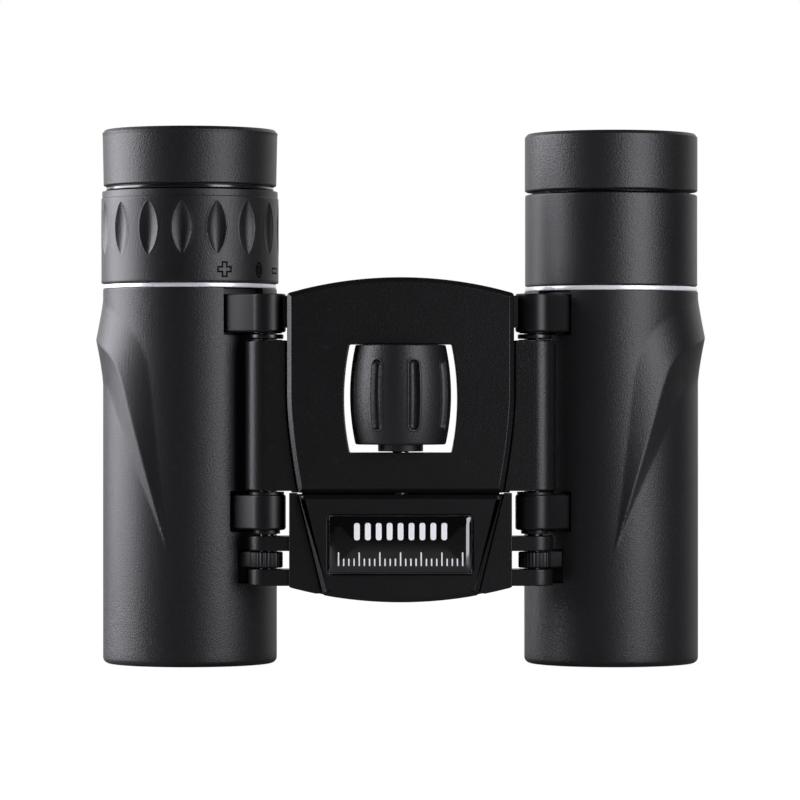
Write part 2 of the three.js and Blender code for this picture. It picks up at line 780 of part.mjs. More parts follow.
// screws from the back: one in each corner of the upper panel, two in the lower one
const upperScrewTopZ = bridgeTopZ - 3.4;
const upperScrewBottomZ = seamZ + 3.2;
const lowerScrewZ = bottomEndZ + 3.4;
const upperScrewPlaces = hingeSigns.flatMap((sign) => [
  [sign * (panelTopHalf - coverScrewInset), upperScrewTopZ],
  [sign * (panelSeamHalf - coverScrewInset), upperScrewBottomZ],
]);
const lowerScrewPlaces = hingeSigns.map((sign) => [
  sign * (lowerPanelHalf(lowerScrewZ) - coverScrewInset),
  lowerScrewZ,
]);

const fromBack = (solid, x, z) => lying(solid.rotate([90, 0, 0]), x, bridgeBack, z);
const screwTip = coverScrewLength + fit;
const headPocket = coverScrewHeadHeight + 0.2;
const screwHole = ([x, z]) =>
  fromBack(
    turned(
      [
        [0, -1],
        [coverScrewHeadRadius + fit, -1],
        [coverScrewHeadRadius + fit, headPocket],
        [coverScrewRadius + fit, headPocket],
        [coverScrewRadius + fit, screwTip],
        [0, screwTip],
      ],
      8,
    ),
    x,
    z,
  );
const coverScrew = ([x, z]) =>
  fromBack(
    turned(
      [
        [0, 0.1],
        [coverScrewHeadRadius, 0.1],
        [coverScrewHeadRadius, coverScrewHeadHeight],
        [coverScrewRadius, coverScrewHeadHeight],
        [coverScrewRadius, coverScrewLength],
        [0, coverScrewLength],
      ],
      8,
    ),
    x,
    z,
  );

function makeBridge() {
  const bushRadius = screwRadius + fit + bushWall;
  const bushPockets = [upperBushBottomZ, lowerBushBottomZ].map((bottom) =>
    onWheelAxis(rod(bushRadius + fit, bottom - 0.2, bottom + bushHeight + 0.2, 12)),
  );
  const upperScrewWay = onWheelAxis(rod(screwRadius + fit, seamZ - 1, screwTopZ + fit, 12));
  const window = standing(windowOutline(), -20, 20);
  const upperHoles = upperScrewPlaces.map(screwHole);

  const upperCover = cut(
    standing(upperPanelOutline(), -panelFront, -coverBack, panelChamfer),
    window,
    upperScrewWay,
    ...bushPockets,
    ...upperHoles,
  );

  const partingY = -coverBack + fit;
  const sideNear = panelSide(fit);
  const wing = outline([
    ...sideNear,
    [panelTopHalf + fit, sleeveTopZ],
    [hingeX, sleeveTopZ],
    [hingeX, seamZ],
  ].reverse());
  const upperBase = cut(
    join(
      standing(upperPanelOutline(), partingY, bridgeBack),
      ...hingeSigns.flatMap((sign) => {
        const wingShape = standing(wing, -wingFront, bridgeBack);
        const onSide = sign > 0 ? wingShape : wingShape.mirror([1, 0, 0]);
        const inner = panelSeamHalf - 2;
        const web = block(inner, hingeX, partingY, bridgeBack, seamZ, sleeveTopZ);
        const webOnSide = sign > 0 ? web : web.mirror([1, 0, 0]);
        const sleeve = rod(bridgeSleeveRadius, sleeveBottomZ, sleeveTopZ, 20);
        return [onSide, webOnSide, lying(sleeve, sign * hingeX, 0, 0)];
      }),
    ),
    ...hingeSigns.map((sign) => lying(rod(pinBore, 0, bridgeTopZ, 12), sign * hingeX, 0, 0)),
    ...hingeSigns.map((sign) =>
      lying(block(-8, 8, -8, 8, seamZ - 1, sleeveBottomZ), sign * (wingHalf + 8), 0, 0),
    ),
    ...hingeSigns.map((sign) =>
      lying(
        block(-8, 8, -8, 8, sleeveTopZ + 0.01, bridgeTopZ + topArcRise),
        sign * (backHalf + 8),
        0,
        0,
      ),
    ),
    window,
    upperScrewWay,
    ...bushPockets,
    ...upperHoles,
  );

  // lower half: slides down on the two hinge pins
  const nutPocket = onWheelAxis(
    block(
      -nutHalfWidth - fit,
      nutHalfWidth + fit,
      -nutHalfDepth - fit,
      nutHalfDepth + fit,
      nutBottomZ - 0.2,
      nutTopZ + 0.2,
    ),
  );
  const lowerScrewWay = onWheelAxis(
    rod(screwRadius + fit, screwBottomZ - 0.6, sliderTopZ + 1, 12),
  );
  const lowerHoles = lowerScrewPlaces.map(screwHole);
  const footHalf = panelFootHalf;
  const lowerPanel = outline([
    [-panelSeamHalf, sliderTopZ],
    [-footHalf, bottomEndZ],
    ...bottomArc(footHalf - 0.5),
    [footHalf, bottomEndZ],
    [panelSeamHalf, sliderTopZ],
  ].filter(([x, z]) => Math.abs(x) !== footHalf || z !== bottomEndZ));
  const badgeShape = roundedRectangle(
    badgeHalfWidth + 0.15,
    badgeTopZ - badgeHeight - 0.15,
    badgeTopZ + 0.15,
    badgeCorner,
  );
  const lowerCover = cut(
    standing(lowerPanel, -panelFront, -coverBack, panelChamfer),
    standing(badgeShape, -panelFront - 1, -panelFront + badgeRecess),
    nutPocket,
    lowerScrewWay,
    ...lowerHoles,
  );

  const lowerBack = outline([
    [-backHalf, sliderTopZ],
    [-backHalf, bottomEndZ],
    ...bottomArc(backHalf - 0.3),
    [backHalf, bottomEndZ],
    [backHalf, sliderTopZ],
  ]);
  const lowerWing = outline([
    [panelSeamHalf + fit, sliderTopZ],
    [lowerPanelHalf(bottomEndZ) + fit, bottomEndZ],
    ...bottomArc(wingHalf - 0.3).filter(([x]) => x > lowerPanelHalf(bottomEndZ) + 1),
    [wingHalf, bottomEndZ],
    [wingHalf, sliderTopZ],
  ]);
  const wingBackY = partingY + 1.2;
  const lugs = hingeSigns.flatMap((sign) =>
    [
      [upperLugBottom, upperLugTop],
      [lowerLugBottom, lowerLugTop],
    ].flatMap(([bottom, top]) => {
      const plate = block(backHalf - 1.5, hingeX, partingY, bridgeBack, bottom, top);
      const front = block(wingHalf - 0.5, hingeX, -lugRadius, partingY + 0.1, bottom, top);
      const lug = join(plate, front, lying(rod(lugRadius, bottom, top, 16), hingeX, 0, 0));
      return [sign > 0 ? lug : lug.mirror([1, 0, 0])];
    }),
  );
  const lowerBase = cut(
    join(
      standing(lowerBack, partingY, bridgeBack),
      standing(lowerWing, -wingFront, wingBackY),
      standing(lowerWing, -wingFront, wingBackY).mirror([1, 0, 0]),
      ...lugs,
    ),
    ...hingeSigns.map((sign) => lying(rod(pinBore, 0, sliderTopZ, 12), sign * hingeX, 0, 0)),
    nutPocket,
    lowerScrewWay,
    ...lowerHoles,
  );

  const badge = standing(
    roundedRectangle(badgeHalfWidth, badgeTopZ - badgeHeight, badgeTopZ, badgeCorner),
    -panelFront + badgeRecess - badgeThickness,
    -panelFront + badgeRecess,
    0.25,
  );

  const capsule = new THREE.CapsuleGeometry(
    wheelGrooveWidth / 2,
    wheelGrooveLength - wheelGrooveWidth,
    1,
    6,
  );
  const groove = toSolid(capsule.rotateX(Math.PI / 2));
  const wheelMiddle = (wheelTopZ + wheelBottomZ) / 2;
  const swell = wheelRadius - wheelEndRadius;
  const wheelProfile = [
    [screwRadius + fit, windowBottomZ + 0.2],
    [wheelNeckRadius, windowBottomZ + 0.2],
    [wheelNeckRadius, wheelBottomZ],
    [wheelEndRadius - 0.5, wheelBottomZ],
  ];
  for (let step = 0; step <= 4; step += 1) {
    const share = (step / 4) * 2 - 1;
    const height = wheelMiddle + share * (wheelHeight / 2 - 0.5);
    wheelProfile.push([wheelRadius - swell * share * share, height]);
  }
  wheelProfile.push([wheelEndRadius - 0.5, wheelTopZ], [screwRadius + fit, wheelTopZ]);
  let wheel = turned(wheelProfile, 24);
  for (let index = 0; index < wheelGrooveCount; index += 1) {
    const reach = wheelRadius + wheelGrooveWidth / 2 - wheelGrooveDepth;
    const placed = lying(groove, reach, 0, wheelMiddle);
    wheel = cut(wheel, aboutZ(placed, ((index + 0.35) * 2 * Math.PI) / wheelGrooveCount));
  }
  const screw = rod(screwRadius, screwBottomZ, screwTopZ, 12);
  const nut = cut(
    block(-nutHalfWidth, nutHalfWidth, -nutHalfDepth, nutHalfDepth, nutBottomZ, nutTopZ),
    rod(screwRadius + fit, nutBottomZ - 1, nutTopZ + 1, 12),
  );
  const bush = (bottom) =>
    ring(screwRadius + fit, screwRadius + fit + bushWall, bottom, bottom + bushHeight, 12);

  const bridge = new THREE.Group();
  bridge.add(
    piece("bridge_cover", upperCover, satinBlack),
    piece("bridge_base", upperBase, satinBlack),
    piece("slider_cover", lowerCover, satinBlack),
    piece("slider_base", lowerBase, satinBlack),
    piece("badge", badge, gloss),
  );
  const drive = new THREE.Group();
  drive.position.set(0, -wheelAxisFront, 0);
  drive.add(
    piece("focus_wheel", wheel, rubberBlack),
    piece("focus_screw", screw, steel),
    piece("focus_nut", nut, brass),
    piece("upper_wheel_bush", bush(upperBushBottomZ), brass),
    piece("lower_wheel_bush", bush(lowerBushBottomZ), brass),
  );
  upperScrewPlaces.forEach((place, index) => {
    bridge.add(piece(`bridge_screw_${index + 1}`, coverScrew(place), steel));
  });
  lowerScrewPlaces.forEach((place, index) => {
    bridge.add(piece(`slider_screw_${index + 1}`, coverScrew(place), steel));
  });
  return [bridge, drive];
}

// ------------------------------------------------------------------ assembly
const binoculars = new THREE.Group();
binoculars.name = "binoculars";
binoculars.position.set(0, -middleY, 0);
binoculars.add(...makeBarrel("right_eye"), ...makeBarrel("left_eye"), ...makeBridge());

export default binoculars;
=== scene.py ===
"""Compact folding binoculars: surfaces, finishes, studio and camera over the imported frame.

Lengths are in millimetres until a mesh is made, and in metres from there on.
"""

import json
import math

import bmesh
import bpy
import numpy as np
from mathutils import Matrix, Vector
from mathutils.geometry import tessellate_polygon


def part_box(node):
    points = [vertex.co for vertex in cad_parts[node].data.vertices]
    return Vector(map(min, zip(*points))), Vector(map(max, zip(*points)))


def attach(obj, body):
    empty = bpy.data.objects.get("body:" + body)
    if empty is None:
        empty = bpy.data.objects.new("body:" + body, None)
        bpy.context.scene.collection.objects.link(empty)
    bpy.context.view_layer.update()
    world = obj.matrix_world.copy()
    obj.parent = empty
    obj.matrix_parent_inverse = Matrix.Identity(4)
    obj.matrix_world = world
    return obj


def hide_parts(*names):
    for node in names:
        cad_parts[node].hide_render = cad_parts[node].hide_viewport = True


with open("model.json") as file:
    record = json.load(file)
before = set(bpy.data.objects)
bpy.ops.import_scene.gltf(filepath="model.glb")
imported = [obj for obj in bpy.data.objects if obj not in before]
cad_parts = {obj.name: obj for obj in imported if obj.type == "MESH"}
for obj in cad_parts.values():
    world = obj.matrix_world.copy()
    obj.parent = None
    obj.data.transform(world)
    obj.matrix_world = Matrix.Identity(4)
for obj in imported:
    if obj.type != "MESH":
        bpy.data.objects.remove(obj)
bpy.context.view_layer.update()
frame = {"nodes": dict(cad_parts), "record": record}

bl_info = {
    "name": "Folding Binoculars", "version": (1, 0, 0), "blender": (4, 5, 0),
    "location": "3D View > Sidebar > Binoculars",
    "description": "Dresses a frame of compact folding binoculars", "category": "Add Mesh"
}

MM = 0.001
BODIES = frame["record"]["behaviour"]["bodies"]
FINE = 128  # steps round a barrel


# ---- the frame
def span(node):
    """Lowest and highest corner of a frame node in millimetres."""
    low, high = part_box(node)
    return np.array(low) / MM, np.array(high) / MM


def middle(node):
    low, high = span(node)
    return (low + high) / 2


def body_of(node):
    return next(body for body, nodes in BODIES.items() if node in nodes)


def full_turn(steps):
    return np.arange(steps) * 2 * math.pi / steps


def measured_from(centre, angles):
    """Angles from a centre, between minus and plus half a turn."""
    return np.arctan2(np.sin(angles - centre), np.cos(angles - centre))


def around(u, v, radius, angles):
    return [(u + radius * math.cos(a), v + radius * math.sin(a)) for a in angles]


def sizes(node):
    """Outer radius, foot and head of a turned frame node in millimetres."""
    low, high = span(node)
    return (high[0] - low[0]) / 2, low[2], high[2]


class Eye:
    """One barrel, with the places that its pieces share."""

    def __init__(self, side, outward):
        self.side, self.outward = side, outward
        low, high = span(self.node("trim_ring"))
        self.x, self.y = self.axis = (low[0] + high[0]) / 2, (low[1] + high[1]) / 2
        self.trim_radius = (high[0] - low[0]) / 2
        self.length = low[2]
        self.hinge_x, self.hinge_y = middle(self.node("hinge_washer"))[:2]
        self.to_pin = self.hinge_x - self.x, self.hinge_y - self.y
        self.reach = math.hypot(*self.to_pin)
        self.to_hinge = math.atan2(*self.to_pin[::-1])

    def node(self, part):
        return f"{self.side}_eye_{part}"


EYES = [Eye("right", -1), Eye("left", 1)]
BARREL_RADIUS = EYES[0].trim_radius + 0.15
HINGE_X = abs(EYES[0].hinge_x)
HINGE_Y = EYES[0].hinge_y
FIT = 0.3


# ---- settings
class BarrelSettings(bpy.types.PropertyGroup):
    grip_height: bpy.props.FloatProperty(
        name="Grip Height",
        description="How far the crest of the thumb grip stands out, in millimetres", default=1.25,
        min=0, max=3
    )
    armour_color: bpy.props.FloatVectorProperty(
        name="Armour Colour", description="Soft-touch coating of the barrels", subtype="COLOR",
        size=3, default=(0.0040, 0.0038, 0.0046)
    )
    ring_color: bpy.props.FloatVectorProperty(
        name="Trim Ring Colour", description="Polished rings at the top of the barrels",
        subtype="COLOR", size=3, default=(0.86, 0.87, 0.89)
    )
    scallop_depth: bpy.props.FloatProperty(
        name="Scallop Depth",
        description="Depth of the finger scallops round the diopter ring, in millimetres",
        default=0.65, min=0, max=1.5
    )


class BridgeSettings(bpy.types.PropertyGroup):
    cover_color: bpy.props.FloatVectorProperty(
        name="Cover Colour", description="Satin moulding of the bridge", subtype="COLOR", size=3,
        default=(0.0028, 0.0028, 0.0031)
    )
    badge_color: bpy.props.FloatVectorProperty(
        name="Badge Colour", description="Gloss badge on the lower bridge", subtype="COLOR", size=3,
        default=(0.0015, 0.0015, 0.0017)
    )
    groove_depth: bpy.props.FloatProperty(
        name="Groove Depth",
        description="Depth of the finger grooves in the focus wheel, in millimetres", default=0.8,
        min=0, max=1.5
    )


class StudioSettings(bpy.types.PropertyGroup):
    floor_color: bpy.props.FloatVectorProperty(
        name="Floor Bounce", description="Share of the light that the white floor throws back up",
        subtype="COLOR", size=3, default=(0.32, 0.32, 0.32)
    )
    left_light: bpy.props.FloatProperty(
        name="Left Light", description="Power of the broad softbox on the left", subtype="POWER",
        default=5.5, min=0
    )
    right_light: bpy.props.FloatProperty(
        name="Right Light", description="Power of the narrow softbox on the right of the camera",
        subtype="POWER", default=1.0, min=0
    )
    distance: bpy.props.FloatProperty(
        name="Camera Distance", description="From the camera to the barrel axes", unit="LENGTH",
        default=0.78, min=0.2
    )


class BinocularSettings(bpy.types.PropertyGroup):
    barrel: bpy.props.PointerProperty(type=BarrelSettings)
    bridge: bpy.props.PointerProperty(type=BridgeSettings)
    studio: bpy.props.PointerProperty(type=StudioSettings)


# ---- mesh making
class Shell:
    """Points and faces of one piece while it is put together."""

    def __init__(self):
        self.points, self.faces, self.slots = [], [], []
        self.count = 0

    def add(self, points, faces, slot=0):
        self.points.append(np.asarray(points, float))
        self.faces.extend(tuple(index + self.count for index in face) for face in faces)
        self.slots.extend([slot] * len(faces))
        self.count += len(points)
        return self

    def shift(self, x=0.0, y=0.0):
        self.points = [part + np.array([x, y, 0]) for part in self.points]
        return self

    def turn(self, angle):
        """Turns everything about the upright axis."""
        across, along = math.cos(angle), math.sin(angle)
        turn = np.array([[across, along, 0], [-along, across, 0], [0, 0, 1]])
        self.points = [part @ turn for part in self.points]
        return self

    def take(self, other):
        self.points.extend(other.points)
        self.faces.extend(tuple(i + self.count for i in face) for face in other.faces)
        self.slots.extend(other.slots)
        self.count += other.count
        return self


def rounded(corners, closed=True, steps=4):
    """A path through (u, v, radius) corners, each one rounded off by its radius."""
    count = len(corners)
    path = []
    for index, (u, v, radius) in enumerate(corners):
        here = np.array([u, v], float)
        inner = closed or 0 < index < count - 1
        if radius <= 0 or not inner:
            path.append(here)
            continue
        before = np.array(corners[index - 1][:2], float) - here
        after = np.array(corners[(index + 1) % count][:2], float) - here
        reach_before, reach_after = np.linalg.norm(before), np.linalg.norm(after)
        before, after = before / reach_before, after / reach_after
        half = math.acos(max(-1, min(1, float(before @ after)))) / 2
        if half > math.radians(88):
            path.append(here)
            continue
        back = min(radius / math.tan(half), reach_before * 0.49, reach_after * 0.49)
        size = back * math.tan(half)
        centre = here + (before + after) / np.linalg.norm(before + after) * size / math.sin(half)
        start, end = here + before * back, here + after * back
        first = math.atan2(*(start - centre)[::-1])
        sweep = math.atan2(*(end - centre)[::-1]) - first
        sweep = (sweep + math.pi) % (2 * math.pi) - math.pi
        for step in range(steps + 1):
            angle = first + sweep * step / steps
            path.append(centre + size * np.array([math.cos(angle), math.sin(angle)]))
    return np.array(path)


def revolved(profile, segments=FINE, closed=True, slot=0):
    """A surface of revolution about the upright axis from (radius, height) points."""
    profile = np.asarray(profile, float)
    angles = np.arange(segments) * 2 * math.pi / segments
    points, rows = [], []
    for radius, height in profile:
        start = len(points)
        if radius < 1e-6:
            points.append((0, 0, height))
            rows.append([start] * segments)
            continue
        points.extend((radius * math.cos(a), radius * math.sin(a), height) for a in angles)
        rows.append(list(range(start, start + segments)))
    faces = []
    last = len(rows) if closed else len(rows) - 1
    for index in range(last):
        low, high = rows[index], rows[(index + 1) % len(rows)]
        for step in range(segments):
            following = (step + 1) % segments
            face = [low[step], low[following], high[following], high[step]]
            face = [v for place, v in enumerate(face) if v not in face[:place]]
            if len(face) > 2:
                faces.append(face)
    return Shell().add(points, faces, slot)


def turned(corners, segments=FINE, steps=4, slot=0):
    """A closed turned piece from (radius, height, rounding) corners."""
    return revolved(rounded(corners, True, steps), segments, True, slot)


def disc(corners, segments=FINE, steps=4, slot=0):
    """A turned piece that starts and ends on its axis."""
    return revolved(rounded(corners, False, steps), segments, False, slot)


def ring(bore, outer, foot, head, rounds, segments=64, slot=0):
    """A turned ring; rounds are for its inner foot, outer foot, outer head and inner head."""
    corners = zip((bore, outer, outer, bore), (foot, foot, head, head), rounds)
    return turned(list(corners), segments, slot=slot)


def inset(loop, amount):
    """The loop moved inwards by amount, its corners mitred."""
    loop = np.asarray(loop, float)
    before = loop - np.roll(loop, 1, axis=0)
    after = np.roll(loop, -1, axis=0) - loop
    before /= np.linalg.norm(before, axis=1)[:, None]
    after /= np.linalg.norm(after, axis=1)[:, None]
    first = np.stack([-before[:, 1], before[:, 0]], axis=1)
    second = np.stack([-after[:, 1], after[:, 0]], axis=1)
    meet = np.maximum(1 + (first * second).sum(axis=1), 0.35)
    return loop + amount * (first + second) / meet[:, None]


def clean_loop(loop, gap=0.02):
    """The loop without points that fall on each other, counter-clockwise."""
    kept = []
    for point in np.asarray(loop, float):
        if not kept or np.linalg.norm(point - kept[-1]) > gap:
            kept.append(point)
    if np.linalg.norm(kept[0] - kept[-1]) <= gap:
        kept.pop()
    kept = np.array(kept)
    x, y = kept[:, 0], kept[:, 1]
    area = (x * np.roll(y, -1) - np.roll(x, -1) * y).sum()
    return kept if area > 0 else kept[::-1]


def edge_section(near, far, near_round, far_round, chamfer=0.0):
    """(inset, depth) steps from the near face to the far face of a plate."""
    start = [(near_round + 0.3, near, 0), (0, near, near_round)]
    if chamfer:
        start = [(chamfer + 1.0, near, 0), (chamfer, near, near_round)]
        start.append((0, near + chamfer, near_round))
    return rounded([*start, (0, far, far_round), (far_round + 0.3, far, 0)], False, 3)[1:-1]


def strip(low, high, count):
    """Faces between two closed rows of points that start at low and at high."""
    pairs = [(index, (index + 1) % count) for index in range(count)]
    return [(low + a, low + b, high + b, high + a) for a, b in pairs]


def plate(outline, section, holes=(), hole_section=None):
    """A plate in (u, v) whose depth is w, with rounded rims on its outline and holes."""
    shell = Shell()
    loops = [(clean_loop(outline), 1)] + [(clean_loop(hole), -1) for hole in holes]
    first, last = [], []
    extra = 0.05
    for loop, sign in loops:
        rim = section if sign > 0 or hole_section is None else hole_section
        steps = [(rim[0][0] + extra, rim[0][1]), *rim, (rim[-1][0] + extra, rim[-1][1])]
        count, end = len(loop), (len(steps) - 1) * len(loop)
        rows = [inset(loop, sign * amount) for amount, _ in steps]
        points = [(u, v, depth) for row, (_, depth) in zip(rows, steps) for u, v in row]
        first.append((shell.count, rows[0]))
        last.append((shell.count + end, rows[-1]))
        lows = range(0, end, count)
        shell.add(points, [face for low in lows for face in strip(low, low + count, count)])
    for ends in (first, last):
        flat = [[(u, v, 0.0) for u, v in row] for _, row in ends]
        places = [base + index for base, row in ends for index in range(len(row))]
        for face in tessellate_polygon(flat):
            shell.faces.append(tuple(places[index] for index in face))
            shell.slots.append(0)
    return shell


def slab(outline, near, far, near_round, far_round, holes=(), hole_rounds=None, chamfer=0.0):
    """An upright plate between two depths: u along x, v up."""
    section = edge_section(near, far, near_round, far_round, chamfer)
    rim = edge_section(near, far, *hole_rounds) if hole_rounds else None
    shell = plate(outline, section, holes, rim)
    shell.points = [part[:, [0, 2, 1]] for part in shell.points]
    return shell


def new_object(name, data):
    item = bpy.data.objects.new(name, data)
    bpy.context.scene.collection.objects.link(item)
    return item


def mirrored(shell):
    twin = Shell().take(shell)
    twin.points = [part * np.array([-1, 1, 1]) for part in twin.points]
    return twin


def wrapped(radii, heights, angles, keep=None):
    """A surface round the upright axis from a table of radii, rows by height."""
    rows, columns = radii.shape
    x = radii * np.cos(angles)[None, :]
    y = radii * np.sin(angles)[None, :]
    z = np.broadcast_to(heights[:, None], radii.shape)
    faces = []
    for row in range(rows - 1):
        quads = strip(row * columns, (row + 1) * columns, columns)
        faces += [quad for step, quad in enumerate(quads) if keep is None or keep[row, step]]
    return Shell().add(np.stack([x, y, z], axis=-1).reshape(-1, 3), faces)


def snapped(values, wanted):
    """The values with the nearest one moved onto each wanted value."""
    values = np.array(values, float)
    for target in wanted:
        values[np.abs(values - target).argmin()] = target
    return values


def set_piece(name, shell, finishes, node, sharp=32, orient=True, weight=True, hides=True):
    """Makes a piece from a shell; it rides with a frame node and by default stands in for it."""
    mesh = bpy.data.meshes.new(name)
    mesh.from_pydata((np.concatenate(shell.points) * MM).tolist(), [], shell.faces)
    mesh.polygons.foreach_set("material_index", shell.slots)
    for finish in finishes.split():
        mesh.materials.append(FINISHES[finish])
    if orient:
        work = bmesh.new()
        work.from_mesh(mesh)
        bmesh.ops.recalc_face_normals(work, faces=work.faces)
        work.to_mesh(mesh)
        work.free()
    mesh.polygons.foreach_set("use_smooth", [True] * len(mesh.polygons))
    mesh.set_sharp_from_angle(angle=math.radians(sharp))
    mesh.update()
    piece = new_object(name, mesh)
    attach(piece, body_of(node))
    if hides:
        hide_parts(node)
    if orient and weight:
        modifier = piece.modifiers.new("Face Weight", "WEIGHTED_NORMAL")
        modifier.keep_sharp = True
        modifier.weight = 50


# ---- finishes
def new_group(name, inputs, outputs):
    """A shader node group with (name, kind, default) inputs and (name, kind) outputs."""
    group = bpy.data.node_groups.new(name, "ShaderNodeTree")
    for label, kind, default in inputs:
        socket = group.interface.new_socket(name=label, in_out="INPUT", socket_type=kind)
        socket.default_value = default
    for label, kind in outputs:
        group.interface.new_socket(name=label, in_out="OUTPUT", socket_type=kind)
    start = group.nodes.new("NodeGroupInput")
    end = group.nodes.new("NodeGroupOutput")
    return group, start.outputs, end.inputs


def add_node(tree, kind, links=(), **settings):
    """A node with its settings made, and its inputs set or linked by name or number."""
    node = tree.nodes.new(f"ShaderNode{kind}")
    for key, value in settings.items():
        setattr(node, key, value)
    for key, value in dict(links).items():
        if isinstance(value, bpy.types.NodeSocket):
            tree.links.new(value, node.inputs[key])
        else:
            node.inputs[key].default_value = value
    return node


def maths(tree, operation, *values, **settings):
    return add_node(tree, "Math", enumerate(values), operation=operation, **settings).outputs[0]


def object_place(tree):
    return add_node(tree, "TexCoord").outputs["Object"]


def noise(tree, place, scale, detail, roughness=0.5):
    links = {"Vector": place, "Scale": scale, "Detail": detail, "Roughness": roughness}
    return add_node(tree, "TexNoise", links).outputs["Fac"]


def map_range(tree, value, low, high, to_low=0.0, to_high=1.0, **settings):
    labels = "Value", "From Min", "From Max", "To Min", "To Max"
    links = zip(labels, (value, low, high, to_low, to_high))
    return add_node(tree, "MapRange", links, **settings).outputs[0]


FLOAT, COLOR = "NodeSocketFloat", "NodeSocketColor"


def grain_group():
    """Fine moulded grain: two sizes of noise with small soft pits between them."""
    inputs = [("Scale", FLOAT, 3000.0), ("Coarse", FLOAT, 0.08), ("Pits", FLOAT, 0.3)]
    group, given, wanted = new_group("Moulded Grain", inputs, [("Height", FLOAT)])
    place, scale = object_place(group), given["Scale"]
    fine = noise(group, place, scale, 2.0, 0.6)
    coarse = noise(group, place, maths(group, "MULTIPLY", scale, 0.22), 1.0)
    cells = add_node(group, "TexVoronoi", {"Vector": place, "Scale": scale}).outputs["Distance"]
    both = maths(group, "MULTIPLY_ADD", coarse, given["Coarse"], fine)
    pitted = maths(group, "MULTIPLY_ADD", cells, given["Pits"], both)
    group.links.new(pitted, wanted["Height"])
    return group


def handling_group():
    """Roughness that wanders with handling, and is smoother in a few rubbed patches."""
    inputs = [("Roughness", FLOAT, 0.5), ("Spread", FLOAT, 0.06), ("Scale", FLOAT, 60.0)]
    group, given, wanted = new_group("Handling", inputs, [("Roughness", FLOAT)])
    cloud = noise(group, object_place(group), given["Scale"], 4.0, 0.65)
    centred = maths(group, "SUBTRACT", cloud, 0.5)
    spread = maths(group, "MULTIPLY", given["Spread"], 2.0)
    value = maths(group, "MULTIPLY_ADD", centred, spread, given["Roughness"], use_clamp=True)
    group.links.new(value, wanted["Roughness"])
    return group


def tone_group():
    """Base colour with a slow drift in tone and a scatter of fine pale dust."""
    inputs = [
        ("Color", COLOR, (0.02, 0.02, 0.02, 1)), ("Dust Color", COLOR, (0.2, 0.2, 0.2, 1)),
        ("Drift", FLOAT, 0.15), ("Dust", FLOAT, 0.1), ("Scale", FLOAT, 80.0)
    ]
    group, given, wanted = new_group("Surface Tone", inputs, [("Color", COLOR)])
    place = object_place(group)
    low = maths(group, "SUBTRACT", 1.0, given["Drift"])
    high = maths(group, "ADD", 1.0, given["Drift"])
    level = map_range(group, noise(group, place, given["Scale"], 3.0), 0.25, 0.75, low, high)
    toned = add_node(group, "VectorMath", {0: given["Color"], "Scale": level}, operation="SCALE")
    sparse = map_range(group, noise(group, place, 900.0, 2.0), 0.66, 0.8)
    amount = maths(group, "MULTIPLY", sparse, given["Dust"])
    links = {"Factor": amount, 6: toned.outputs[0], 7: given["Dust Color"]}
    mixed = add_node(group, "Mix", links, data_type="RGBA")
    group.links.new(mixed.outputs[2], wanted["Color"])
    return group


def streak_group():
    """Fine lines turned round an upright axis, as a lathe and a polishing mop leave."""
    inputs = [("Scale", FLOAT, 2000.0)]
    group, given, wanted = new_group("Turned Streaks", inputs, [("Height", FLOAT)])
    parts = add_node(group, "SeparateXYZ", {0: object_place(group)})
    links = {"W": parts.outputs["Z"], "Scale": given["Scale"], "Detail": 2.0}
    lines = add_node(group, "TexNoise", links, noise_dimensions="1D")
    group.links.new(lines.outputs["Fac"], wanted["Height"])
    return group


GROUPS = {}
FINISHES = {}


def make_groups():
    makers = dict(grain=grain_group, handling=handling_group, tone=tone_group, streaks=streak_group)
    for key, maker in makers.items():
        GROUPS[key] = maker()


def use_group(tree, key, links):
    return add_node(tree, "Group", links, node_tree=GROUPS[key])


def new_finish(name, tone, handling, inputs):
    """A material whose colour and roughness vary over its surface."""
    material = bpy.data.materials.new(name)
    material.use_nodes = True
    tree = material.node_tree
    shader = tree.nodes["Principled BSDF"]
    for label, value in inputs.items():
        shader.inputs[label].default_value = value
    toned, worn = use_group(tree, "tone", tone), use_group(tree, "handling", handling)
    tree.links.new(toned.outputs["Color"], shader.inputs["Base Color"])
    tree.links.new(worn.outputs["Roughness"], shader.inputs["Roughness"])
    return material


def add_bump(material, key, scale, strength, distance):
    """Relief on a material from a shared group with a Height output."""
    tree = material.node_tree
    height = use_group(tree, key, {"Scale": scale}).outputs["Height"]
    bump = add_node(tree, "Bump", {"Height": height, "Strength": strength, "Distance": distance})
    tree.links.new(bump.outputs["Normal"], tree.nodes["Principled BSDF"].inputs["Normal"])
    return material


def moulded(
    name, color, roughness, grain=3200.0, depth=0.00001, strength=0.35, spread=0.05, drift=0.12,
    dust=0.05, coat=0.0, coat_roughness=0.2, sheen=0.0, specular=0.5
):
    """A moulded plastic, coated metal or rubber finish."""
    tone = {"Color": (*color, 1), "Dust Color": (0.16, 0.16, 0.165, 1)}
    tone.update({"Drift": drift, "Dust": dust})
    inputs = {
        "Specular IOR Level": specular, "Coat Weight": coat, "Coat Roughness": coat_roughness,
        "Sheen Weight": sheen, "Sheen Roughness": 0.45
    }
    material = new_finish(name, tone, {"Roughness": roughness, "Spread": spread}, inputs)
    return add_bump(material, "grain", grain, strength, depth)


def metal(name, color, roughness, spread=0.05, metallic=1.0):
    """A turned or polished metal finish."""
    dulled = [part * 0.6 for part in color]
    tone = {"Color": (*color, 1), "Dust Color": (*dulled, 1), "Drift": 0.06, "Dust": 0.25}
    handling = {"Roughness": roughness, "Spread": spread, "Scale": 400.0}
    material = new_finish(name, tone, handling, {"Metallic": metallic})
    return add_bump(material, "streaks", 2600.0, 0.3, 0.000006)


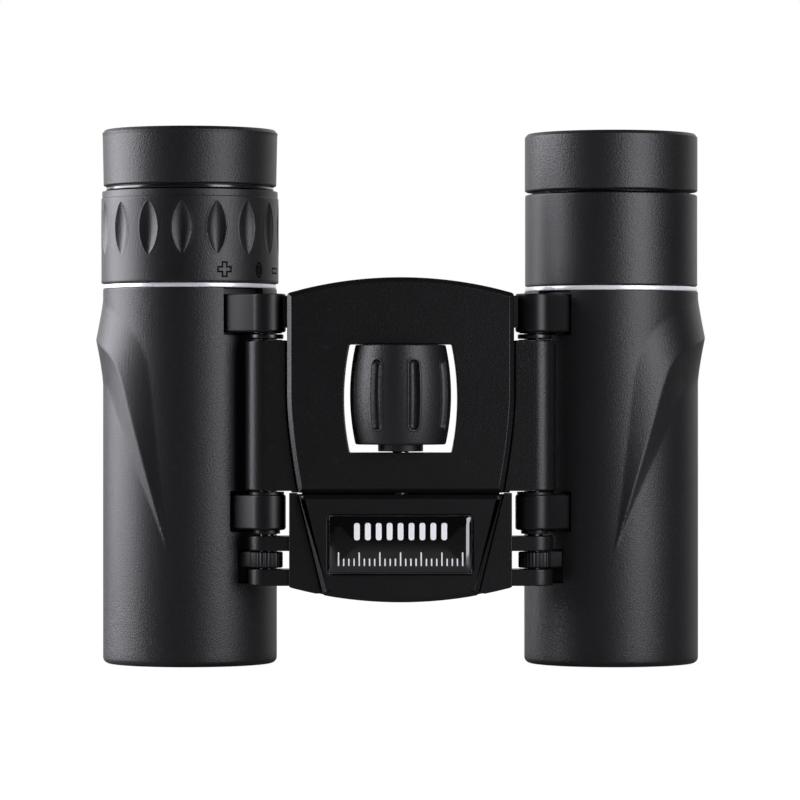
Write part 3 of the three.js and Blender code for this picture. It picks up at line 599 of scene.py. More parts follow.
def coated_glass(name, tint):
    """Lens glass with a faint coloured bloom."""
    tone = {"Color": (0.93, 0.95, 0.97, 1), "Dust Color": (0.7, 0.7, 0.72, 1), "Drift": 0.02}
    inputs = {
        "Transmission Weight": 1.0, "IOR": 1.52, "Coat Weight": 0.6, "Coat Roughness": 0.02,
        "Coat Tint": (*tint, 1)
    }
    return new_finish(name, tone, {"Roughness": 0.025, "Spread": 0.02, "Scale": 120.0}, inputs)


def make_finishes(settings):
    barrel, bridge = settings.barrel, settings.bridge
    armour, cover = tuple(barrel.armour_color), tuple(bridge.cover_color)
    coated = dict(grain=3800, depth=0.00008, strength=0.55)
    FINISHES.update(
        armour=moulded("Soft Touch Armour", armour, 0.42, **coated, spread=0.03, sheen=0.01),
        sleeve=moulded("Sleeve Coating", armour, 0.4, **coated),
        ring=moulded("Diopter Ring", armour, 0.4, **coated),
        satin=moulded(
            "Satin Bridge", cover, 0.36, grain=3600, depth=0.00006, strength=0.5, specular=0.38
        ),
        knuckle=moulded(
            "Satin Knuckle", cover, 0.38, grain=3000, strength=0.4, spread=0.08, specular=0.36
        ), wheel=moulded("Wheel Rubber", (0.004, 0.004, 0.0045), 0.44, **coated, sheen=0.01),
        rubber=moulded(
            "Eyecup Rubber", (0.0045, 0.0045, 0.005), 0.43, depth=0.00009, strength=0.55, sheen=0.02
        ),
        polished=moulded(
            "Polished Black Ring", (0.006, 0.006, 0.0065), 0.2, grain=900, strength=0.05, coat=0.5
        ),
        inner=moulded(
            "Inner Black", (0.004, 0.004, 0.0043), 0.5, grain=2400, strength=0.3, dust=0.03
        ),
        mark=moulded("Dark Marking", (0.0008, 0.0008, 0.0008), 0.75, strength=0.05, specular=0.1),
        badge=moulded(
            "Gloss Badge", tuple(bridge.badge_color), 0.07, grain=400, depth=0.000002,
            strength=0.03, spread=0.015, dust=0.015, coat=1.0, coat_roughness=0.03
        ), print=moulded("White Print", (0.95, 0.95, 0.95), 0.4, grain=6000, strength=0.1),
        line=moulded("Grey Line", (0.22, 0.22, 0.23), 0.3, grain=6000, strength=0.1, dust=0.1),
        chrome=metal("Satin Silver Trim", tuple(barrel.ring_color), 0.3, 0.1, 0.35),
        steel=metal("Turned Steel", (0.56, 0.57, 0.58), 0.3),
        dark_steel=metal("Blackened Steel", (0.05, 0.05, 0.052), 0.32),
        brass=metal("Turned Brass", (0.62, 0.46, 0.2), 0.32),
        glass=coated_glass("Coated Glass", (0.75, 0.8, 1.0)),
        front_glass=coated_glass("Front Glass", (0.8, 0.72, 1.0))
    )


# ---- barrels
KNUCKLE_RADIUS = 3.4
ARM_HALF_WIDTH = 2.0
PIN_BORE = 1.7
COLLAR_BORE = 12.5
WIDE_ROOT = 1.2  # how much wider the right eye's upper arm is at its root
RING_STEP = 0.5  # height of the raised step on the diopter ring


def crest_path():
    """Places along one leg of the grip's crest, evenly spaced: how far along the leg each lies, and
    the sides and heights of the path they are spaced on.
    """
    along = (np.arange(2001) / 2000) ** 2
    turn = 44 * (1 - np.exp(-along / 0.045)) + 41 * along
    side = np.radians(turn) * BARREL_RADIUS
    height = 58 - 38.5 * along
    travelled = np.concatenate([[0], np.cumsum(np.hypot(np.diff(side), np.diff(height)))])
    even = np.linspace(0, travelled[-1], 520)
    return np.interp(even, travelled, along), even, travelled, side, height


def grip_relief(angles, heights, rise):
    """Height of the thumb grip at each angle from the arch's centre and each height."""
    along, even, travelled, side, height = crest_path()
    side = np.interp(even, travelled, side)
    height = np.interp(even, travelled, height)
    fade = 1 - along
    relief = rise * fade**0.7
    above = 7 * fade**1.1 + 0.01
    under = 8 * fade**1.5 + 0.01
    across = np.abs(angles) * BARREL_RADIUS
    table = np.zeros((len(heights), len(angles)))
    for row, level in enumerate(heights):
        gap = np.hypot(across[:, None] - side[None, :], level - height[None, :])
        nearest = gap.argmin(axis=1)
        distance = gap[np.arange(len(across)), nearest]
        below = (across < side[nearest]) & (level < height[nearest])
        width = np.where(below, under[nearest], above[nearest])
        share = np.clip(distance / width, 0, 1)
        slope = np.where(below, (1 - share) ** 1.35, (1 - share) ** 1.15)
        table[row] = relief[nearest] * slope
    return table


def armour_slots(eye):
    """(half width, low, high) of each opening that a hinge arm passes through."""
    washer_low = span(eye.node("hinge_washer"))[0][2]
    upper = washer_low - 0.3 + 1.4 - 0.4
    arm_low, arm_high = span(eye.node("focus_arm"))
    sleeve_low = span("bridge_base")[0][2]
    lower_top = sleeve_low + 0.3 - 0.7 + 0.3
    return [
        (KNUCKLE_RADIUS + 0.5, upper, eye.length + 5),
        (KNUCKLE_RADIUS + 0.5, lower_top - 6.2 - 0.7, lower_top + 0.3),
        (ARM_HALF_WIDTH + FIT, arm_low[2] - 2.9, arm_high[2] + FIT)
    ]


def make_armour(eye, settings):
    """The coated outer skin of a barrel, with its grip and the openings for the hinge."""
    slots = armour_slots(eye)
    columns = 360
    wanted, leans = [], []
    for half, low, _ in slots:
        root = WIDE_ROOT if eye.outward < 0 and low > eye.length / 2 else 0.0
        lean = (-math.asin((half + root) / BARREL_RADIUS), math.asin(half / BARREL_RADIUS))
        leans.append(lean)
        wanted.extend([(eye.to_hinge + side) % (2 * math.pi) for side in lean])
    angles = snapped(full_turn(columns), wanted)
    radius, inner, neck, top = BARREL_RADIUS, BARREL_RADIUS - 2.9, BARREL_RADIUS - 1.2, eye.length
    lip = rounded([(inner, 1.2, 0), (inner, 0, 0.35), (radius, 0, 1.8), (radius, 2.2, 0)], False, 7)
    body = np.arange(2.6, top - 0.45, 0.34)
    body = snapped(body, [v for _, low, high in slots for v in (low, high) if v < body[-1]])
    rim = [(radius, top - 0.4, 0), (radius, top, 0.3), (neck, top, 0.25), (neck, top - 5, 0)]
    rim = rounded(rim, False, 3)
    heights = np.concatenate([lip[:, 1], body, rim[:, 1]])
    base = np.concatenate([lip[:, 0], np.full(len(body), radius), rim[:, 0]])
    grip_side = math.radians(96 if eye.outward < 0 else 84)
    grip_centre = -math.pi / 2 + eye.outward * grip_side
    from_grip = measured_from(grip_centre, angles)
    relief = np.zeros((len(heights), columns))
    shaped = slice(len(lip), len(lip) + len(body))
    relief[shaped] = grip_relief(from_grip, body, settings.barrel.grip_height)
    radii = base[:, None] + relief
    levels = (heights[:-1] + heights[1:]) / 2
    from_hinge = measured_from(eye.to_hinge, angles + math.pi / columns)
    keep = np.ones((len(levels), columns), bool)
    for (_, low, high), (first, last) in zip(slots, leans):
        inside = (levels > low)[:, None] & (levels < high)[:, None]
        keep &= ~(inside & ((from_hinge > first) & (from_hinge < last))[None, :])
    shell = wrapped(radii, heights, angles, keep)
    add_slot_walls(shell, radii, heights, angles, keep)
    set_piece(
        f"{eye.side}_armour_skin", shell.shift(*eye.axis), "armour inner", eye.node("armour"),
        40, False
    )


def add_slot_walls(shell, radii, heights, angles, keep):
    """Walls of the openings, from the skin in to the tube."""
    rows, columns = keep.shape
    wall, points, faces = {}, [], []

    def place(row, column, depth):
        key = (row, column, depth)
        if key not in wall:
            radius = max(radii[row, column] - depth, BARREL_RADIUS - 1.2)
            angle = angles[column]
            wall[key] = len(points)
            points.append((radius * math.cos(angle), radius * math.sin(angle), heights[row]))
        return wall[key]

    for row, column in np.argwhere(~keep).tolist():
        after = (column + 1) % columns
        near, far = (row, column), (row, after)
        above, beyond = (row + 1, column), (row + 1, after)
        sides = [
            (keep[row, column - 1], near, above), (keep[row, after], beyond, far),
            (row > 0 and keep[row - 1, column], far, near),
            (row + 1 < rows and keep[row + 1, column], above, beyond)
        ]
        for solid, one, two in sides:
            if solid:
                edge = (*one, 0.0), (*two, 0.0), (*two, 1.5), (*one, 1.5)
                faces.append([place(*corner) for corner in edge])
    shell.add(points, faces, 1)


def stadium(reach, radius, start, steps=20):
    """Outline of an arm along u that ends in a half circle round (reach, 0)."""
    nose = around(reach, 0, radius, np.linspace(-math.pi / 2, math.pi / 2, steps))
    return [(start, -radius), *nose, (start, radius)]


def circle(u, v, radius, steps=28):
    return around(u, v, radius, full_turn(steps))


def hinge_arm(eye, radius, start, low, high, edge=0.7, root=0.0):
    """An arm from inside a barrel out to its hinge, bored for the pin and wider at its root."""
    outline = stadium(eye.reach, radius, start)
    if root:
        outline[:1] = [(start, -radius - root), (BARREL_RADIUS + 0.6, -radius - root)]
    section = edge_section(low, high, min(edge, 0.45), edge)
    section = section if edge < 0.5 else edge_section(low, high, edge, 0.4)
    arm = plate(outline, section, [circle(eye.reach, 0, PIN_BORE)])
    return arm.turn(eye.to_hinge)


def make_tube(eye):
    """The inner tube of a barrel with its neck and its two hinge knuckles."""
    node = eye.node("barrel_tube")
    _, foot, head = sizes(node)
    tube, bore, neck, neck_bore = 14.0, 12.8, 12.2, 11.0
    top, shoulder = eye.length, eye.length - 2.2
    corners = [
        (bore, foot, 0.15), (tube, foot, 0.2), (tube, top, 0.3), (neck, top, 0.1),
        (neck, head, 0.2), (neck_bore, head, 0.2), (neck_bore, shoulder, 0), (bore, shoulder, 0.1)
    ]
    shell = turned(corners, slot=1)
    for _, low, high in armour_slots(eye)[:2]:
        upper = high > eye.length
        top = min(high - 0.6, EYES[1].length - 0.7)
        root = WIDE_ROOT if upper and eye.outward < 0 else 0.0
        shell.take(hinge_arm(eye, KNUCKLE_RADIUS, bore - 0.4, low + 0.4, top, root=root))
        bosses = [(low + 0.25, low + 0.6, 2.7)]
        if not upper:
            bosses = [(top - 0.2, top + 0.5, 3.1), (low - 0.25, low + 0.6, 2.4)]
        for start, end, size in bosses:
            boss = ring(PIN_BORE, size, start, end, (0, 0.08, 0.08, 0))
            shell.take(boss.shift(*eye.to_pin))
    shell.shift(*eye.axis)
    set_piece(f"{eye.side}_barrel_core", shell, "knuckle inner", node)


def make_trim(eye):
    node = eye.node("trim_ring")
    shell = ring(COLLAR_BORE, *sizes(node), (0, 0.16, 0.16, 0), 192).shift(*eye.axis)
    set_piece(f"{eye.side}_polished_ring", shell, "chrome", node, weight=False)


def make_sleeve(eye):
    node = eye.node("sleeve")
    shell = ring(COLLAR_BORE, *sizes(node), (0, 0.25, 0.35, 0), 192).shift(*eye.axis)
    set_piece(f"{eye.side}_eyepiece_sleeve", shell, "sleeve", node)


def make_diopter_ring(eye, settings):
    """The turning ring of the right eyepiece, with pointed scallops and a stepped top."""
    node = eye.node("diopter_ring")
    radius, low, high = sizes(node)
    angles = full_turn(768)
    rim = rounded([(COLLAR_BORE, low, 0), (radius, low, 0.25), (radius, low + 0.6, 0)], False, 4)
    inner, raised = radius - 0.14, high + RING_STEP
    top = [
        (radius, high - 1.3, 0), (radius, high - 0.8, 0.12), (inner, high - 0.75, 0.1),
        (inner, raised, 0.16), (COLLAR_BORE, raised, 0)
    ]
    top = rounded(top, False, 4)
    body = np.arange(low + 0.8, high - 1.4, 0.12)
    heights = np.concatenate([rim[:, 1], body, top[:, 1]])
    base = np.concatenate([rim[:, 0], np.full(len(body), radius), top[:, 0]])
    count, tall, wide, phase = 16, 9.4, 3.5, 0.89
    pitch = 2 * math.pi / count
    offset = (angles / pitch - phase) % 1.0
    offset = np.where(offset > 0.5, offset - 1, offset) * pitch * radius
    up = (heights - (low + 9.6)) / (tall / 2)
    envelope = np.clip(1 - up**2, 0, 1)
    half = np.maximum(wide / 2 * envelope**0.8, 1e-3)
    across = offset[None, :] / half[:, None]
    scoop = np.clip(1 - across**2, 0, 1) * envelope[:, None]
    lip = np.exp(-(((np.abs(across) - 1) * half[:, None] - 0.12) ** 2) / 0.012)
    lip = np.where((np.abs(across) > 1) & (envelope[:, None] > 0), lip, 0)
    radii = base[:, None] - settings.barrel.scallop_depth * scoop + 0.03 * lip
    shell = wrapped(radii, heights, angles).shift(*eye.axis)
    set_piece("diopter_ring_moulding", shell, "ring", node, 28, False)
    make_dial_marks(eye, node, radius + 0.02, low + 2.2)


def make_dial_marks(eye, node, radius, height):
    """Generic plus, nought and minus marks round the lower edge of the diopter ring."""
    shell = Shell()
    line = 0.3

    def stroke(start, end, centre):
        start, end = np.array(start, float), np.array(end, float)
        length = np.linalg.norm(end - start)
        steps = max(2, int(length / 0.2))
        along = (end - start) / length
        side = np.array([-along[1], along[0]]) * line / 2
        points = []
        for step in range(steps + 1):
            here = start - along * line / 2 + (end - start + along * line) * step / steps
            for u, v in (here - side, here + side):
                angle = centre + u / radius
                points.append((radius * math.cos(angle), radius * math.sin(angle), height + v))
        faces = [(2 * s, 2 * s + 2, 2 * s + 3, 2 * s + 1) for s in range(steps)]
        shell.add(points, faces)

    def outline(corners, degrees):
        for one, two in zip(corners, corners[1:] + corners[:1]):
            stroke(one, two, math.radians(degrees - 90))

    arm, half = 1.25, 0.42
    outline(cross_outline(arm, half), 25.3)
    for size in (1.0, 0.42):
        turn = full_turn(20)
        outline([(size * 0.72 * math.cos(a), (size + 0.25) * math.sin(a)) for a in turn], 53.0)
    outline([(-arm, -half), (arm, -half), (arm, half), (-arm, half)], 74.5)
    shell.shift(*eye.axis)
    set_piece("diopter_dial_marks", shell, "mark", node, orient=False, hides=False)


def cross_outline(arm, half):
    return [
        (-arm, -half), (-half, -half), (-half, -arm), (half, -arm), (half, -half), (arm, -half),
        (arm, half), (half, half), (half, arm), (-half, arm), (-half, half), (-arm, half)
    ]


def make_eyecup(eye):
    """The rubber eyecup, its rim rounded over and its floor sloping to the lens."""
    node = eye.node("eyecup")
    top_radius, low, high = sizes(node)
    foot_radius = BARREL_RADIUS - 0.1
    foot = low + (0.3 if eye.outward < 0 else 0.0)
    bore, hole = foot_radius - 2.2, 11.2
    shoulder = foot_radius + (top_radius - foot_radius) * 0.7
    corners = [
        (hole, foot, 0.1), (foot_radius, foot, 0.3), (shoulder, high - 1.1, 1.6),
        (top_radius, high - 0.6, 0.12), (top_radius - 0.5, high, 0.16), (bore + 0.25, high, 0.4),
        (bore, high - 0.6, 0.6), (bore, low + 2.2, 0.5), (hole, low + 2.2, 0.2)
    ]
    shell = turned(corners, 192, 5)
    for level in (high - 2.9, high - 3.5):
        shell.take(ring(bore - 0.12, bore + 0.2, level, level + 0.3, (0.1, 0, 0, 0.1), FINE))
    shell.shift(*eye.axis)
    set_piece(f"{eye.side}_eyecup_moulding", shell, "rubber", node, sharp=40)


def make_eyepiece(eye):
    """The eyepiece's tube and flange, its retaining ring and the eye lens."""
    node = eye.node("eyepiece_tube")
    flange, low, high = sizes(node)
    below = sizes(eye.node("diopter_ring" if eye.outward < 0 else "sleeve"))[2]
    raised, lift = (RING_STEP, 0.3) if eye.outward < 0 else (0.0, 0.0)
    foot, head = below + raised + 0.14, sizes(eye.node("eyecup"))[1] + lift - 0.06
    corners = [
        (8.2, low, 0.2), (10.7, low, 0.2), (10.7, foot, 0), (flange - 0.3, foot, 0),
        (flange - 0.3, head, 0), (10.9, head, 0), (10.9, high, 0.2), (9.5, high, 0.2),
        (9.5, low + 1, 0), (8.2, low + 1, 0.2)
    ]
    band = ring(flange - 0.5, flange, foot, head - 0.12, (0, 0.18, 0.18, 0), 192, 1)
    shell = turned(corners, 160).take(band).shift(*eye.axis)
    set_piece(f"{eye.side}_eyepiece_barrel", shell, "inner polished", node)
    node = eye.node("lens_retainer")
    outer, low, high = sizes(node)
    corners = [
        (8.2, low, 0), (9.2, low, 0), (9.2, high - 1.0, 0), (outer, high - 1.0, 0.1),
        (outer, high - 0.55, 0.2), (8.9, high - 0.1, 0.3), (8.2, high - 0.15, 0.2)
    ]
    shell = turned(corners, 160)
    for step in range(3):
        level, edge = high - 0.55 + step * 0.13, outer - 0.5 - step
        corners = [
            (edge - 0.4, level - 0.2, 0), (edge, level - 0.2, 0), (edge, level + 0.05, 0.1),
            (edge - 0.4, level + 0.12, 0.1)
        ]
        shell.take(turned(corners))
    shell.shift(*eye.axis)
    set_piece(f"{eye.side}_eye_lens_ring", shell, "inner", node)
    for part in ("eye_lens", "field_lens"):
        make_lens(f"{eye.side}_{part}_glass", eye, eye.node(part), True, "glass")


def make_lens(name, eye, node, up, finish):
    """A lens with one domed face, ground edge and small bevels."""
    radius, low, high = sizes(node)
    crown = min(1.2, (high - low) * 0.45)
    way, flat, edge = (1, low, high - crown) if up else (-1, high, low + crown)
    bevel = 0.15
    path = [
        (0, flat), (radius * 0.5, flat), (radius - bevel, flat), (radius, flat + way * bevel),
        (radius, edge - way * bevel), (radius - bevel, edge)
    ]
    for share in np.linspace(1, 0, 14):
        path.append(((radius - 0.8) * share, edge + way * crown * (1 - share**2)))
    shell = revolved(path, 96, False).shift(*eye.axis)
    set_piece(name, shell, finish, node)


def make_objective(eye):
    """The objective's cell with its baffle threads, lens, retainer and focus arm."""
    node = eye.node("objective_cell")
    outer, low, high = sizes(node)
    bore, seat = outer - 1.2, outer - 2.5
    corners = [
        (bore, low, 0.2), (outer, low, 0.25), (outer, high, 0.2), (bore, high, 0.2),
        (bore, low + 6.7, 0), (seat, low + 6.6, 0.1), (seat, low + 5.6, 0.1), (bore, low + 5.6, 0)
    ]
    shell = turned(corners, 160)
    for step in range(4):
        level, root = low + 0.5 + step * 0.45, bore + 0.2
        thread = [(bore - 0.15, level, 0.08), (root, level - 0.12, 0), (root, level + 0.12, 0)]
        shell.take(turned(thread, steps=2))
    shell.shift(*eye.axis)
    set_piece(f"{eye.side}_objective_housing", shell, "inner", node)
    glass = eye.node("objective_lens")
    make_lens(f"{eye.side}_objective_glass", eye, glass, False, "front_glass")
    node = eye.node("objective_retainer")
    outer, low, high = sizes(node)
    corners = [
        (outer - 1.1, low, 0.2), (outer, low, 0.15), (outer, high, 0.1), (outer - 0.9, high, 0.2)
    ]
    shell = turned(corners, 160).shift(*eye.axis)
    set_piece(f"{eye.side}_objective_lock_ring", shell, "inner", node)
    make_focus_arm(eye)


def make_focus_arm(eye):
    """The arm that carries the objective down with the slider, ribbed round its knuckle."""
    node = eye.node("focus_arm")
    _, low, high = sizes(node)
    shell = hinge_arm(eye, ARM_HALF_WIDTH, 11.6, low, high, 0.25)
    shell.slots = [1] * len(shell.slots)
    columns = 240
    angles = full_turn(columns)
    corners = [(PIN_BORE, low, 0.1), (2.86, low, 0.25), (2.86, high, 0.25), (PIN_BORE, high, 0.1)]
    profile = rounded(corners, False, 4)
    ribs = 0.05 * np.cos(angles * 30)
    ribbed = profile[:, 0] > 2.5
    radii = profile[:, 0][:, None] + np.where(ribbed[:, None], ribs[None, :] - 0.05, 0)
    collar = wrapped(radii, profile[:, 1], angles)
    collar.take(revolved([(PIN_BORE, low), (PIN_BORE, high)], columns, False))
    shell.take(collar.shift(*eye.to_pin)).shift(*eye.axis)
    name = f"{eye.side}_objective_arm"
    set_piece(name, shell, "knuckle inner", node, weight=False)


# ---- bridge
PANEL_FRONT = HINGE_Y - 5.2
WING_FRONT = HINGE_Y - 3.7
PARTING_FRONT = HINGE_Y - 1.2
PARTING_BACK = HINGE_Y - 0.9
BRIDGE_BACK = HINGE_Y + 2.4
CHAMFER = 0.8
BRIDGE_SLEEVE = 3.7
LUG_RADIUS = 3.2
BACK_HALF = 18.5  # half width of both back plates


class Bridge:
    """Places on the bridge, read from the frame."""

    def __init__(self):
        low, high = span("bridge_cover")
        self.top_half = (high[0] - low[0]) / 2
        self.seam = low[2]
        self.corner = high[2] - 2.8
        self.seam_half = self.top_half - 2.0
        low, high = span("slider_cover")
        self.slider_top = high[2]
        self.foot = low[2] + 2.6
        self.foot_half = self.top_half - 6.3
        self.sleeve_low = self.seam + 0.3


BRIDGE = Bridge()
SLEEVE_HIGH = span("right_eye_hinge_washer")[0][2] - 0.3


def arc(half, ends, rise, steps=40):
    """Points of a circular arc from -half to half that bulges by rise."""
    radius = (half * half + rise * rise) / (2 * abs(rise))
    spread = math.asin(half / radius)
    way = math.copysign(1, rise)
    centre = ends + rise - way * radius
    turns = np.linspace(-spread, spread, steps + 1)
    return [(radius * math.sin(a), centre + way * radius * math.cos(a)) for a in turns]


def bowed(start, bend, end, steps):
    """Points of a smooth curve from start to end, drawn out towards bend."""
    start, bend, end = np.array([start, bend, end])
    share = np.linspace(0, 1, steps + 1)[:, None]
    curve = (1 - share) ** 2 * start + 2 * share * (1 - share) * bend + share**2 * end
    return [tuple(point) for point in curve]


def panel_side(extra=0.0):
    """Side of the raised panel above the seam, going up."""
    side = BRIDGE.top_half + extra
    start, bend = (BRIDGE.seam_half + extra, BRIDGE.seam), (side, BRIDGE.seam + 11.3)
    return bowed(start, bend, (side, BRIDGE.corner - 17), 24)


def both_sides(right):
    """A right-hand path followed by its mirror image, back to the middle."""
    right = [tuple(point) for point in right]
    return right + [(-u, v) for u, v in right[::-1]]


def upper_outline():
    side = panel_side()
    top = arc(BRIDGE.top_half, BRIDGE.corner, 2.8)[::-1]
    corner = [(*side[-1], 0), (BRIDGE.top_half, BRIDGE.corner, 0.7), (*top[3], 0)]
    right = side[:-1] + [tuple(point) for point in rounded(corner, False, 5)]
    return right + top[4:-4] + both_sides(right)[len(right):]


def foot_arc(reach, steps=40):
    """The curved foot of the slider, as far as reach on either side."""
    return [p for p in arc(BRIDGE.top_half - 0.3, BRIDGE.foot, -2.6, steps) if abs(p[0]) < reach]


def slider_outline(reach, corners):
    bottom = foot_arc(reach)
    corners = [(*bottom[-1], 0), *corners, (0, BRIDGE.slider_top, 0)]
    return bottom + both_sides(rounded(corners, False, 5)[1:-1])


def window_outline():
    """The opening for the focus wheel, its sides bowed outwards."""
    _, low, high = sizes("focus_wheel")
    low, high, half_middle, half_end = low - 0.2, high + 0.2, 9.9, 8.9
    bend = (2 * half_middle - half_end, (low + high) / 2)
    path = [(u, v, 0) for u, v in bowed((half_end, low), bend, (half_end, high), 20)]
    upper = [*path[1:-1], (*path[-1][:2], 0.25), (0, high, 0)]
    lower = [(0, low, 0), (half_end, low, 0.25), path[1]]
    right = [*rounded(lower, False, 4)[1:-1], *rounded(upper, False, 4)[:-1]]
    return both_sides(right)


def rectangle(left, right, bottom, top, corner):
    places = (left, bottom), (right, bottom), (right, top), (left, top)
    return [(*place, corner) for place in places]


def badge_loop(grow, corner):
    low, high = span("badge")
    half = high[0] + grow
    return rounded(rectangle(-half, half, low[2] - grow, high[2] + grow, corner), True, 6)


def screw_holes(part, count):
    """Round holes in a back plate for the screws that hold its cover."""
    places = [middle(f"{part}_screw_{index + 1}") for index in range(count)]
    return [circle(place[0], place[2], 1.6, 32) for place in places]


def make_bridge():
    """The upper bridge: its raised cover, the base with two hinge sleeves, and the wings."""
    window, side = window_outline(), BRIDGE.top_half
    cover = slab(
        upper_outline(), PANEL_FRONT, PARTING_FRONT, 0.22, 0.1, [window], (0.15, 0.1), CHAMFER
    )
    lip = [(side - 0.3, -3.1), (side + 0.7, -3.1), (side + 0.55, -2.5), (side - 0.3, -2.5)]
    lip = plate(lip, edge_section(SLEEVE_HIGH + 2.2, BRIDGE.corner - 0.4, 0.1, 0.1))
    lip.shift(0, HINGE_Y)
    cover.take(lip).take(mirrored(lip))
    set_piece("bridge_front_cover", cover, "satin", "bridge_cover")
    holes = [window, *screw_holes("bridge", 4)]
    shell = slab(base_outline(), PARTING_BACK, BRIDGE_BACK, 0.1, 0.5, holes, (0.1, 0.15))
    seam, start, low = BRIDGE.seam + 0.02, BRIDGE.seam_half - 2, BRIDGE.sleeve_low
    wing = [
        (BRIDGE.seam_half + 0.25, seam), *[p for p in panel_side(0.25) if p[1] < SLEEVE_HIGH - 0.4],
        (side + 0.25, SLEEVE_HIGH), (HINGE_X, SLEEVE_HIGH), (HINGE_X, low), (19.1, low),
        (19.0, seam)
    ]
    wing = slab(wing, WING_FRONT, PARTING_BACK + 1.6, 0.12, 0.1)
    web = [(start, low), (HINGE_X, low), (HINGE_X, SLEEVE_HIGH), (start, SLEEVE_HIGH)]
    web = slab(web, PARTING_BACK + 0.2, BRIDGE_BACK, 0.1, 0.4)
    sleeve = ring(PIN_BORE, BRIDGE_SLEEVE, low, SLEEVE_HIGH, (0.15, 0.35, 0.35, 0.15), 96)
    collar = ring(PIN_BORE, 2.8, SLEEVE_HIGH - 0.3, SLEEVE_HIGH + 0.15, (0, 0, 0.06, 0))
    for part in (wing, web, sleeve.shift(HINGE_X, HINGE_Y), collar.shift(HINGE_X, HINGE_Y)):
        shell.take(mirrored(part)).take(part)
    set_piece("bridge_back_and_sleeves", shell, "satin", "bridge_base")


def base_outline():
    """Back plate of the upper bridge, clear of the folded barrels."""
    half, seam = BACK_HALF, BRIDGE.seam
    top = [p for p in arc(BRIDGE.top_half, BRIDGE.corner, 2.8) if abs(p[0]) < half - 0.3][::-1]
    top_u, top_v = top[0]
    edge = float(np.interp(half, *zip(*[(abs(u), v) for u, v in top if u >= 0][::-1])))
    path = [(0, seam, 0), (half, seam, 0.3), (half, edge - 0.1, 0.8), (top_u - 0.6, top_v, 0)]
    right = [tuple(point) for point in rounded(path, False, 5)[1:]]
    between = [p for p in top if abs(p[0]) < top_u - 1.2]
    return right + between + both_sides(right)[len(right):]


def make_slider():
    """The lower half of the bridge, which slides down with the focus wheel."""
    top, foot = BRIDGE.slider_top, BRIDGE.foot
    corners = [(BRIDGE.foot_half, foot - 1.35, 0.6), (BRIDGE.seam_half, top, 0.25)]
    cover = slab(
        slider_outline(12.6, corners), PANEL_FRONT, PARTING_FRONT, 0.22, 0.1,
        [badge_loop(0.15, 1.0)], (0.12, 0.1), CHAMFER
    )
    cover.take(slab(badge_loop(0.6, 1.4), PANEL_FRONT + 0.6, PARTING_FRONT - 0.5, 0, 0))
    half = BRIDGE.seam_half - 0.5
    tongue = [(-half, top - 2), (half, top - 2), (half, top + 3.4), (-half, top + 3.4)]
    cover.take(slab(tongue, PARTING_FRONT + 0.08, PARTING_BACK - 0.08, 0, 0))
    set_piece("slider_front_cover", cover, "satin", "slider_cover")
    corners = [(BACK_HALF, foot - 0.3, 0.6), (BACK_HALF, top, 0.3)]
    shell = slab(
        slider_outline(BACK_HALF - 0.6, corners), PARTING_BACK, BRIDGE_BACK, 0.1, 0.5,
        screw_holes("slider", 2), (0.1, 0.15)
    )
    wing_half = 19.45
    floor = [p for p in foot_arc(wing_half - 0.3, 80) if p[0] > BRIDGE.foot_half + 0.9]
    wing = [
        (BRIDGE.seam_half + 0.25, top + 0.2), (BRIDGE.foot_half + 0.25, foot - 1.0), *floor,
        (wing_half, foot + 0.05), (wing_half, top + 0.2)
    ]
    wing = slab(wing, WING_FRONT, PARTING_BACK + 1.4, 0.12, 0.1)
    lugs = Shell()
    _, arm_low, arm_high = sizes("right_eye_focus_arm")
    for low, high in ((arm_high + 0.2, arm_high + 2.8), (arm_low - 3.1, arm_low - 0.2)):
        nose = stadium(HINGE_X, LUG_RADIUS, 17.6, 24)[:-1]
        lug = [*nose, (HINGE_X - 1.6, 2.4), (17.0, 2.4), (17.0, -0.8)]
        section = edge_section(low, high, 0.25, 0.25)
        lugs.take(plate(lug, section, [circle(HINGE_X, 0, PIN_BORE)]).shift(0, HINGE_Y))
    for part in (wing, lugs):
        shell.take(mirrored(part)).take(part)
    set_piece("slider_back_and_lugs", shell, "satin", "slider_base")


